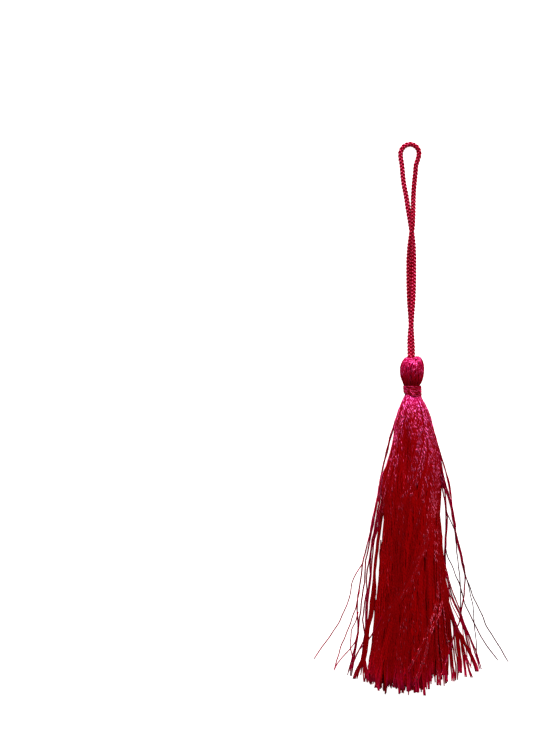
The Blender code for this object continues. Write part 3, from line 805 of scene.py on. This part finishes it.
# %% [markdown]
# ## The head
# The head is the fold of the skein. Yarns come up out of the neck, swell over the knot inside, fold over the
# top and dive down beside the cord. The cord pulls the skein in along the middle, so the top has two lobes.
# A turned shape with grooves would look machined, so each yarn is drawn on its own way over the same egg
# shape, a little askew, and its two plies show in relief. A few yarns have slipped right across the others on
# the front. More yarns lie under the gaps, and a plain heart fills the inside.

# %% The egg shape, and a yarn's way over it
EGG_COLUMNS = ("y", "left", "right", "low", "high", "lobe")
EGG_ROWS = (
    (31.40, -1.20, 1.80, 1.20, 4.20, 0.00),
    (33.30, -1.50, 2.05, 1.00, 4.40, 0.00),
    (33.95, -1.88, 2.38, 0.65, 4.70, 0.00),
    (34.80, -2.24, 2.76, 0.12, 5.15, 0.00),
    (35.70, -2.52, 3.00, -0.15, 5.35, 0.00),
    (36.60, -2.66, 3.13, -0.28, 5.44, 0.00),
    (37.50, -2.64, 3.15, -0.30, 5.42, 0.00),
    (38.30, -2.48, 3.08, -0.20, 5.28, 0.02),
    (39.00, -2.16, 2.90, 0.20, 4.98, 0.10),
    (39.48, -1.74, 2.58, 0.72, 4.55, 0.24),
    (39.70, -1.28, 2.12, 1.25, 4.05, 0.36),
    (39.58, -0.86, 1.64, 1.70, 3.60, 0.38),
    (39.05, -0.60, 1.20, 2.00, 3.30, 0.18),
    (38.20, -0.40, 0.95, 2.20, 3.10, 0.00),
)
FRONT_ROWS = 10             # rows below the fold, where the front of the head is
RIGHT_LOBE = 0.42           # share by which the right lobe stands higher
HEAD_MIDDLE = Vector((0.2, 37.0, 2.6))
HEAD_YARNS, UNDER_YARNS = 54, 40
HEAD_LEAN, UNDER_LEAN = 0.30, 0.15      # how far at most a yarn goes round the head on its way, radians
UNDER_INSET = 0.32          # how much deeper the yarns under the gaps lie
HEAD_STEPS = 66
HEAD_YARN_HALF = 0.205
YARN_LEAD = 1.5             # length in which a yarn's plies go once round
HEAD_PLIES = 0.16           # how far they stand out, as a share of half the yarn
YARN_WANDER, YARN_WANDER_LENGTHS = 0.030, (2.9, 1.7)
YARN_PROUD, YARN_PROUD_LENGTH = 0.04, 3.1
WAVE_STEPS, WANDER_TIMES = 6, 3         # a yarn's steps for 1 of those lengths, and how much more it wanders
YARN_SQUEEZE, YARN_SQUEEZED_Y = 0.72, (33.2, 35.6)      # thickness left in the neck, and where it comes back
SLIPPED_HEIGHT = 4.5        # first guess of a slipped yarn's height, mm
SLIPPED_SUNK = 0.6          # how far it sinks between the others, as a share of half a yarn
SLIPPED_ENDS = (0.5, 0.4)   # how deep its lower and its upper end dive in
SLIPPED_WAYS = (            # pixels that yarns pass which lie askew on the front of the head
    ((412.0, 358.4), (407.2, 360.4), (403.4, 365.0), (401.5, 372.0), (402.4, 379.0), (404.6, 386.0)),
    ((411.6, 359.0), (406.4, 361.6), (403.2, 366.6), (402.9, 372.0), (404.4, 377.6), (406.6, 384.0)),
    ((412.4, 359.4), (408.8, 362.8), (405.8, 368.6), (405.0, 376.0), (406.4, 386.0)),
    ((413.2, 360.0), (410.8, 364.4), (409.0, 370.4), (408.6, 378.0), (409.4, 386.0)),
    ((408.4, 358.8), (411.8, 361.8), (414.6, 366.2), (416.4, 373.0), (416.6, 380.0), (415.6, 386.0)),
    ((410.4, 358.6), (414.2, 360.6), (417.4, 365.0), (419.2, 372.0), (419.0, 380.0), (417.4, 386.0)),
    ((414.4, 358.0), (418.2, 359.4), (421.2, 364.0), (422.4, 370.0), (421.6, 378.0), (419.2, 385.0)),
    ((420.4, 357.8), (417.4, 361.4), (415.2, 366.6), (413.6, 374.0), (413.0, 386.0)),
)


def egg_ring(row, angle, inset):
    """A point of the egg's surface, at one row of its table and one angle round it, set in a little."""
    y, left, right, low, high, lobe = row
    x = (left + right) / 2 + ((right - left) / 2 - inset) * math.cos(angle)
    z = (low + high) / 2 + ((high - low) / 2 - inset) * math.sin(angle)
    swell = lobe * math.cos(angle) ** 2 * (1 + (RIGHT_LOBE if math.cos(angle) > 0 else 0))
    return Vector((x, y + swell, z))


def outward_frames(points, middles):
    """Two directions across a line at each point: sideways, and away from that point's middle."""
    frames = []
    for number, point in enumerate(points):
        ahead = ahead_at(points, number)
        out = square_to(ahead, point - middles[number])
        frames.append((ahead.cross(out), out))
    return frames


def yarn_on_head(points, half, **looks):
    frames = outward_frames(points, [HEAD_MIDDLE] * len(points))
    return thread(points, half, start_along=chance.uniform(0, 2), frames=frames, **looks)


def head_yarn(number, count, inset, lean):
    """A yarn that goes up the head and over its top."""
    start = 2 * math.pi * (number + chance.uniform(-0.3, 0.3)) / count
    skew = chance.uniform(-lean, lean)
    wander = waves(YARN_WANDER, *YARN_WANDER_LENGTHS)
    proud = waves(YARN_PROUD, YARN_PROUD_LENGTH)
    half = HEAD_YARN_HALF * chance.uniform(0.88, 1.12)
    rows = [egg_ring(row, start + skew * at / len(EGG_ROWS), inset + half)
            for at, row in enumerate(EGG_ROWS)]
    points = even_points(smooth_route(rows, fine=16), HEAD_STEPS)
    for at, point in enumerate(points):
        out = (point - HEAD_MIDDLE).normalized()
        side = out.cross(Vector((0, 1, 0)))
        point += out * proud(at / WAVE_STEPS) + side * wander(at / WAVE_STEPS) * WANDER_TIMES
        point.z = max(half * (1 + HEAD_PLIES), point.z)
    halves = [half * blend(YARN_SQUEEZE, 1.0, smooth_step(point.y, *YARN_SQUEEZED_Y)) for point in points]
    # yarns set deeper get a lower rise, which paints them darker, as painted shade
    return yarn_on_head(points, halves, tone=chance.uniform(0.3, 0.9), rise=0.9 - inset)


def on_egg(px, py, half):
    """The middle of a slipped yarn on the front of the head, where the camera sees it at a pixel."""
    place = over_pixel(px, py, SLIPPED_HEIGHT)
    for _ in range(3):
        left, right, low, high = [EGG_FRONT.at(place.y, name) for name in ("left", "right", "low", "high")]
        aside = limited((place.x - (left + right) / 2) / ((right - left) / 2), -0.97, 0.97)
        bulge = (high - low) / 2 * math.sqrt(1 - aside * aside)
        place = over_pixel(px, py, (low + high) / 2 + bulge - SLIPPED_SUNK * half)
    return place


def slipped_yarn(way):
    """A yarn that lies askew on the front."""
    half = HEAD_YARN_HALF * chance.uniform(0.85, 1.05)
    line = smooth_route([(px, py, 0) for px, py in reversed(way)])
    points = [on_egg(place.x, place.y, half) for place in even_points(line, HEAD_STEPS)]
    for end, depth in zip((0, -1), SLIPPED_ENDS):
        points[end].z -= depth
    return yarn_on_head(points, half, tone=chance.uniform(0.6, 1.0), rise=1.0)


EGG_FRONT = Table(EGG_COLUMNS, EGG_ROWS[:FRONT_ROWS])
chance.seed(23)
yarns = [head_yarn(number, HEAD_YARNS, 0.0, HEAD_LEAN) for number in range(HEAD_YARNS)]
yarns += [head_yarn(number + 0.5, UNDER_YARNS, UNDER_INSET, UNDER_LEAN) for number in range(UNDER_YARNS)]
yarns += [slipped_yarn(way) for way in SLIPPED_WAYS]
head_yarns = draw_threads("head_yarns", yarns, sides=7, plies=HEAD_PLIES, lead=YARN_LEAD)


# %% The heart inside the head
HEART_SIDES = 32
HEART_INSET = 0.62          # how much smaller it is than the egg of the yarns, mm
HEART_CLEAR = 0.2           # how far it stays above the surface, mm


def draw_heart():
    """A closed egg a little smaller than the yarns' own, drawn up row by row from one circle."""
    bm = bmesh.new()
    bmesh.ops.create_circle(bm, cap_ends=True, radius=1, segments=HEART_SIDES)
    lay = bm.verts.layers.float_vector.new("lay")
    yarn = bm.verts.layers.float_vector.new("yarn")
    faces = list(bm.faces)
    for level, row in enumerate(EGG_ROWS[:-1]):
        if level:
            faces = bmesh.ops.extrude_discrete_faces(bm, faces=faces)["faces"]
        for corner, vert in enumerate(faces[0].verts):
            angle = 2 * math.pi * corner / HEART_SIDES
            vert.co = egg_ring(row, angle, HEART_INSET) * MM
            vert.co.z = max(HEART_CLEAR * MM, vert.co.z)
            vert[lay] = Vector((math.cos(angle), math.sin(angle), row[0]))
            # a low tone and no rise paint the heart dark, as painted shade where it shows between the yarns
            vert[yarn] = Vector((0.1, 0.0, 0.0))
    bmesh.ops.holes_fill(bm, edges=[edge for edge in bm.edges if edge.is_boundary], sides=0)
    bmesh.ops.recalc_face_normals(bm, faces=bm.faces)
    return add_mesh("head_heart", bm)


heart = draw_heart()
for piece in (head_yarns, heart):
    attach(piece, "root")


# %% [markdown]
# ## The binding
# Thread wound tightly round the neck holds the fold. The lower turns slant and follow the skirt's spread.
# A thread is drawn along a helix for each of two layers: neat turns inside, and a few looser ones on top.

# %% The wound thread
BINDING_TOP, BINDING_BOTTOM = 33.35, 30.95
BINDING_HALF = 0.13
BINDING_LAYERS = (          # the inner and the outer layer: turns, reach, top, bottom and wobble
    (13.3, 2.06, 33.37, 31.02, 0.012),
    (6.4, 2.12, 33.10, 31.30, 0.07),
)
BINDING_TOP_X, BINDING_BOTTOM_X = 0.27, 0.40    # middle of the top and of the bottom turn
BINDING_NARROWS = 0.06      # how much less the bottom turn reaches sideways,
NARROWS_IN_HEIGHT = 0.3     # and the share of that by which its height is less
BINDING_MIDDLE_X, BINDING_MIDDLE_Z = 0.3, 2.70  # the line that the turns face away from
BINDING_TALL = 1.04         # its height for each unit of its width
BINDING_SLANT = 0.28
BINDING_WOBBLE_TURNS = (2.3, 1.1)       # turns in which a wobble comes round
STEPS_A_TURN = 56


def wound_points(turns, reach, top, bottom, wobble):
    """The middle line of one layer of turns."""
    points = []
    loose_turn = waves(wobble, *BINDING_WOBBLE_TURNS)
    for step in range(round(turns * STEPS_A_TURN) + 1):
        turn = step / STEPS_A_TURN
        y = blend(top, bottom, turn / turns)
        down = (BINDING_TOP - y) / (BINDING_TOP - BINDING_BOTTOM)
        angle = 2 * math.pi * turn
        radius = reach + loose_turn(turn) * 0.4
        x = (radius - BINDING_NARROWS * down) * math.cos(angle)
        z = (radius - NARROWS_IN_HEIGHT * BINDING_NARROWS * down) * BINDING_TALL * math.sin(angle)
        slanted = y + loose_turn(turn + 5) - BINDING_SLANT * x * down
        middle_x = blend(BINDING_TOP_X, BINDING_BOTTOM_X, down)
        points.append(Vector((middle_x + x, slanted, BINDING_MIDDLE_Z + z)))
    return points


chance.seed(5)
ways = [wound_points(*layer) for layer in BINDING_LAYERS]
longest = max(len(way) for way in ways)
wound = []
for number, way in enumerate(ways):
    points = even_points(way, longest - 1)
    middles = [Vector((BINDING_MIDDLE_X, point.y, BINDING_MIDDLE_Z)) for point in points]
    # the inner layer gets a lower tone and rise, which paint it darker, as painted shade under the outer
    # turns
    wound.append(thread(points, BINDING_HALF, tone=0.35 + 0.3 * number, rise=0.6 + 0.4 * number,
                        frames=outward_frames(points, middles)))
binding = draw_threads("binding_winds", wound, sides=6)
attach(binding, "root")
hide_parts("neck_binding")


# %% [markdown]
# ## Silk
# Silk floss is dyed deep crimson. Light that enters a thread comes back dark red, and light that glances off
# its fibres comes back pink. A single shader can't give two colours, so two are mixed: a matt crimson body,
# and a lustre with a tinted reflection, magenta near the neck and redder further down. Where the threads
# leave the neck they look magenta all through, so a painted magenta sheen is laid over their colour there.
# Towards their ends, bright threads get a paler colour as a painted highlight: at the hem on the skirt, and
# over the top of the head. A thread's rise is how high it lies, or how bright its row should be. It makes the
# colour darker where the rise is low, as painted shade, and lighter where it is above 1, as painted light.
# The twist of the plies is a ridge that winds round each thread, made from its "lay" note. It drives a bump,
# and it darkens the grooves as painted shade. Where the ridge comes to the top it makes a crown, and some
# crowns, drawn by lot, catch the light as beads. Near the neck many of them do, and in the lower skirt, which
# shines less, only a few.

# %% Shader maths written as expressions
class Finish:
    """A material, and one method that adds any node to it."""

    def __init__(self, name):
        self.material = bpy.data.materials.new(name)
        self.material.use_nodes = True
        self.tree = self.material.node_tree
        self.tree.nodes.clear()

    def node(self, kind, settings=None, sockets=None, output=0):
        made = self.tree.nodes.new(kind)
        for name, value in (settings or {}).items():
            setattr(made, name, value)
        for name, value in (sockets or {}).items():
            if isinstance(value, Socket):
                self.tree.links.new(value.link, made.inputs[name])
            else:
                made.inputs[name].default_value = value
        return Socket(self, made.outputs[output]) if made.outputs else None

    def parts(self, vector):
        """The three numbers of a vector."""
        first = self.node("ShaderNodeSeparateXYZ", None, {0: vector})
        return [Socket(self, first.link.node.outputs[number]) for number in range(3)]

    def vector(self, x, y, z):
        return self.node("ShaderNodeCombineXYZ", None, {0: x, 1: y, 2: z})

    def mix(self, share, first, second):
        """The first colour, turning to the second as share goes to 1."""
        return self.node("ShaderNodeMix", {"data_type": "RGBA"}, {0: share, 6: first, 7: second}, output=2)


class Socket:
    """One output of a node. Arithmetic on it adds Math nodes."""

    def __init__(self, finish, link):
        self.finish, self.link = finish, link

    def math(self, operation, *others):
        sockets = dict(enumerate((self,) + others))
        return self.finish.node("ShaderNodeMath", {"operation": operation}, sockets)

    def __add__(self, other):
        return self.math("ADD", other)

    def __mul__(self, other):
        return self.math("MULTIPLY", other)

    def __sub__(self, other):
        return self.math("SUBTRACT", other)

    def __rsub__(self, other):
        return self.finish.node("ShaderNodeMath", {"operation": "SUBTRACT"}, {0: other, 1: self})

    __radd__ = __add__
    __rmul__ = __mul__

    def clamped(self):
        return self.finish.node("ShaderNodeClamp", None, {0: self})


# %% One recipe for every silk finish
FLOSS_LEAD = 1.9            # length in mm in which the plies of a skirt thread go once round
NECK_SHEEN_COLOUR, NECK_FADE = (0.66, 0.003, 0.135), 7.0     # the painted magenta sheen laid over the colour at the neck, and how soon it ends
RIDGE_ROUND = 0.8           # below 1, the plies are rounder and the grooves between them narrower
CROWN_EDGE = 7              # how sharply the lot parts the lit crowns from the others
TIP_BY_TONE, TIP_FROM_TONE = 2.5, 1.0   # only bright threads get the painted highlight at the tip
CAST_FADE = 2.2             # how soon the lustre turns to its colour lower down
GROOVE_GLEAM = 0.025        # the little lustre that every ridge has


def silk(name, deep, body, tip, lustre, gloss, shine, beads, few, far=None, lead=FLOSS_LEAD, relief=0.0001,
         depth=0.3, crest=2.0, pip=1.0, beads_fall=0.0, crowd=0.0, tip_from=30.0, neck=0.0):
    """deep and body are the thread's own colours, mixed by its tone and by painted shade. tip is a paler
    colour painted over the ends of bright threads as a painted highlight, and a higher tip_from makes it
    shorter. lustre is the reflection's colour at the neck and far its colour lower down. gloss is its
    roughness, shine its share. beads is the share of crowns that catch the light at the neck, beads_fall how
    much less it is at the tip, and few the least it can be. crowd says how much fewer they are on threads of
    low rise. lead and relief are the length of the plies' twist in mm and its height in metres. depth says
    how much darker the low places are painted, as painted shade, and how much less lustre they have, crest
    how narrow the bright tops are, and pip how short the bright spot on each crown is. neck is how strongly a
    painted magenta sheen covers the colour at the neck."""
    colours = (deep, body, tip, lustre, far or lustre, NECK_SHEEN_COLOUR)
    deep, body, tip, lustre, far, neck_sheen_colour = [(*colour, 1) for colour in colours]
    finish = Finish(name)
    lay = finish.node("ShaderNodeAttribute", {"attribute_name": "lay"}, output=1)
    yarn = finish.node("ShaderNodeAttribute", {"attribute_name": "yarn"}, output=1)
    across, up, along = finish.parts(lay)
    tone, near_tip, rise = finish.parts(yarn)

    winding = across.math("ARCTAN2", up) - along * (2 * math.pi / lead)
    ridge = winding.math("COSINE").math("ABSOLUTE").math("POWER", RIDGE_ROUND)
    crown = (winding * (1 / math.pi) + 0.5).math("FLOOR")
    draw = finish.node("ShaderNodeTexWhiteNoise", {"noise_dimensions": "2D"}, {
        "Vector": finish.vector(crown, tone * 977.0, 0.0)})
    likely = (beads - near_tip * beads_fall).math("MAXIMUM", few) * rise.math("POWER", crowd)
    lit = ((draw + likely - 1) * CROWN_EDGE).clamped()
    fibres = finish.node("ShaderNodeTexNoise", None, {
        "Vector": finish.vector(winding.math("SINE") * 3.0, along * 0.55, tone * 37.0), "Scale": 3.0,
        "Detail": 2.0, "Roughness": 0.6})
    patch = finish.node("ShaderNodeTexNoise", None, {
        "Vector": finish.vector(tone * 60.0, along * 0.22, rise), "Scale": 2.0, "Detail": 1.0})

    # painted shade: threads, strands and yarns of low rise get a darker colour and less lustre
    painted_low_shade = 1 - depth + depth * rise.math("POWER", 2.0)
    top = 1 - depth + depth * rise.math("POWER", crest)
    # tone, fibres and patch vary the dye's own colour; the ridge term darkens the grooves between plies as
    # painted shade
    shade = ((tone * 0.35 + fibres * 0.3 + patch * 0.3 + ridge * 0.3 - 0.15) * painted_low_shade).clamped()
    # painted highlight: a paler colour over the ends of bright threads
    tip_highlight = (near_tip.math("POWER", tip_from) * (tone * TIP_BY_TONE - TIP_FROM_TONE).clamped()).clamped()
    # painted sheen: magenta laid over the colour where the threads leave the neck
    neck_sheen_share = (neck - near_tip * NECK_FADE).clamped()
    # the base colour: the dye with painted shade, painted highlight and painted sheen laid in
    dye_and_painted_light = finish.mix(neck_sheen_share, finish.mix(tip_highlight, finish.mix(shade, deep, body), tip), neck_sheen_colour)
    height = ridge * (0.6 - near_tip * 0.3 + 0.6 * lit) + fibres * 0.25
    normal = finish.node("ShaderNodeBump", None, {"Strength": 1.0, "Distance": relief, "Height": height})

    matt = finish.node("ShaderNodeBsdfPrincipled", None, {
        "Base Color": dye_and_painted_light, "Roughness": 0.7, "Specular IOR Level": 0.0, "Normal": normal})
    cast = finish.mix((near_tip * CAST_FADE).clamped(), lustre, far)
    glint = finish.node("ShaderNodeBsdfPrincipled", None, {
        "Base Color": cast, "Metallic": 1.0, "Roughness": (gloss + 0.2 * fibres).clamped(),
        "Specular Tint": lustre, "Normal": normal})
    bead = ridge.math("POWER", pip) * lit * 1.1 + ridge * GROOVE_GLEAM
    share = (shine * bead * top * (0.5 + patch)).clamped()
    mixed = finish.node("ShaderNodeMixShader", None, {0: share, 1: matt, 2: glint})
    finish.node("ShaderNodeOutputMaterial", None, {"Surface": mixed})
    return finish.material


# %% The values of each finish, and what wears it
SILKS = {
    "silk_floss": dict(
        deep=(0.135, 0.0002, 0.0005), body=(0.31, 0.0005, 0.001), tip=(0.60, 0.005, 0.03),
        lustre=(1.0, 0.12, 0.48), far=(1.0, 0.07, 0.13), gloss=0.18, shine=0.9, pip=3.0,
        beads=0.46, beads_fall=0.95, few=0.075, neck=0.85),
    "crossing_floss": dict(
        deep=(0.13, 0.0002, 0.0005), body=(0.30, 0.0005, 0.001), tip=(0.58, 0.004, 0.06), tip_from=45.0,
        lustre=(1.0, 0.11, 0.46), far=(1.0, 0.12, 0.20), gloss=0.17, shine=1.1, depth=0.9, crest=1.0,
        pip=3.0, beads=0.60, beads_fall=0.25, few=0.42, crowd=3.0, neck=0.85),
    "loose_floss": dict(
        deep=(0.11, 0.0003, 0.011), body=(0.33, 0.0005, 0.007), tip=(0.42, 0.003, 0.06),
        lustre=(1.0, 0.11, 0.36), far=(1.0, 0.12, 0.28), gloss=0.20, shine=0.9, depth=0.8, crest=1.0,
        pip=1.2, beads=0.65, beads_fall=0.6, few=0.22, crowd=1.5),
    "stray_plies": dict(
        deep=(0.02, 0.0005, 0.002), body=(0.07, 0.0005, 0.006), tip=(0.10, 0.001, 0.02),
        lustre=(1.0, 0.11, 0.36), relief=0.00004, gloss=0.3, shine=0.15, beads=0.2, few=0.1),
    # on the head a yarn's tip is its far end over the top, so the head's tip colour is a painted highlight on
    # the top
    "head_floss": dict(
        deep=(0.10, 0.0002, 0.002), body=(0.26, 0.0005, 0.004), tip=(0.60, 0.003, 0.10), tip_from=3.0,
        lustre=(1.0, 0.10, 0.38), lead=YARN_LEAD, relief=0.00006, gloss=0.20, shine=0.58, pip=1.1,
        beads=-0.27, beads_fall=-1.15, few=0.03),
    "binding_thread": dict(
        deep=(0.05, 0.0002, 0.001), body=(0.25, 0.0005, 0.002), tip=(0.27, 0.0005, 0.002),
        lustre=(1.0, 0.06, 0.24), lead=1.2, relief=0.00004, gloss=0.30, shine=0.50, depth=0.6, crest=3.0,
        beads=0.45, few=0.4),
    "braided_cord": dict(       # its strands aren't twisted, so one turn of the plies is a kilometre long
        deep=(0.17, 0.0002, 0.005), body=(0.36, 0.0005, 0.006), tip=(0.36, 0.0005, 0.006),
        lustre=(1.0, 0.17, 0.32), far=(1.0, 0.11, 0.31), lead=1e6, relief=0.00003, gloss=0.24, shine=0.43,
        depth=0.995, crest=8.0, pip=4.0, beads=1.0, few=1.2),
}
WORN_BY = {
    "silk_floss": (skirt_core, skirt_cover), "crossing_floss": (crossing,), "loose_floss": (loose,),
    "stray_plies": (strays,), "head_floss": (head_yarns, heart), "binding_thread": (binding,),
    "braided_cord": (braid,),
}
for finish_name, pieces in WORN_BY.items():
    material = silk(finish_name, **SILKS[finish_name])
    for piece in pieces:
        piece.data.materials.append(material)
print("finishes", sorted(SILKS))


# %% [markdown]
# ## Surface and light
# The surface is a plain pale floor that glows a little, as white paper does on a light table, so the tassel
# hardly throws a shadow. Three soft lights stand beyond the head, two high and one low, and shine down along
# the threads. A thread is a tiny cylinder, so it glints mostly where the heap tilts towards them: under the
# neck and on top of the head. A faint even sky fills the rest.

# %% Floor
FLOOR_HALF = 2.0            # half its side, m
bm = bmesh.new()
bmesh.ops.create_grid(bm, x_segments=1, y_segments=1, size=FLOOR_HALF)
floor = add_mesh("floor", bm)
paper = Finish("pale_paper")
here = paper.node("ShaderNodeTexCoord", output=3)
grain = paper.node("ShaderNodeTexNoise", None, {"Scale": 900.0, "Detail": 2.0, "Vector": here})
tooth = paper.node("ShaderNodeBump", None, {"Strength": 0.04, "Distance": 0.0002, "Height": grain})
sheet = paper.node("ShaderNodeBsdfPrincipled", None, {
    "Base Color": (0.80, 0.80, 0.80, 1), "Roughness": 0.85, "Specular IOR Level": 0.2,
    "Emission Color": (1, 1, 1, 1), "Emission Strength": 1.0, "Normal": tooth})
paper.node("ShaderNodeOutputMaterial", None, {"Surface": sheet})
floor.data.materials.append(paper.material)


# %% Lights and sky
LIGHTS = {          # where each one stands and how wide it is, in m, and its power in W
    "key": ((0.24, 0.56, 0.66), 0.30, 6.4),
    "second": ((-0.34, 0.52, 0.66), 0.30, 3.4),
    "low": ((0.05, 0.80, 0.24), 0.34, 6.0),
}
LIGHTS_AIM = Vector((0.0, 0.02, 0.0))
SKY_STRENGTH = 0.13
for light_name, (place, size, power) in LIGHTS.items():
    light = bpy.data.lights.new(light_name, "AREA")
    light.shape, light.size, light.energy = "SQUARE", size, power
    lamp = add_object(light_name, light)
    lamp.location = place
    lamp.rotation_euler = (LIGHTS_AIM - Vector(place)).to_track_quat("-Z", "Y").to_euler()
sky = bpy.data.worlds.new("sky")
sky.use_nodes = True
background = sky.node_tree.nodes["Background"]
background.inputs["Color"].default_value = (1, 1, 1, 1)
background.inputs["Strength"].default_value = SKY_STRENGTH
bpy.context.scene.world = sky
bpy.context.scene.view_settings.view_transform = "Standard"
print("lights", list(LIGHTS), "and a sky of", SKY_STRENGTH)
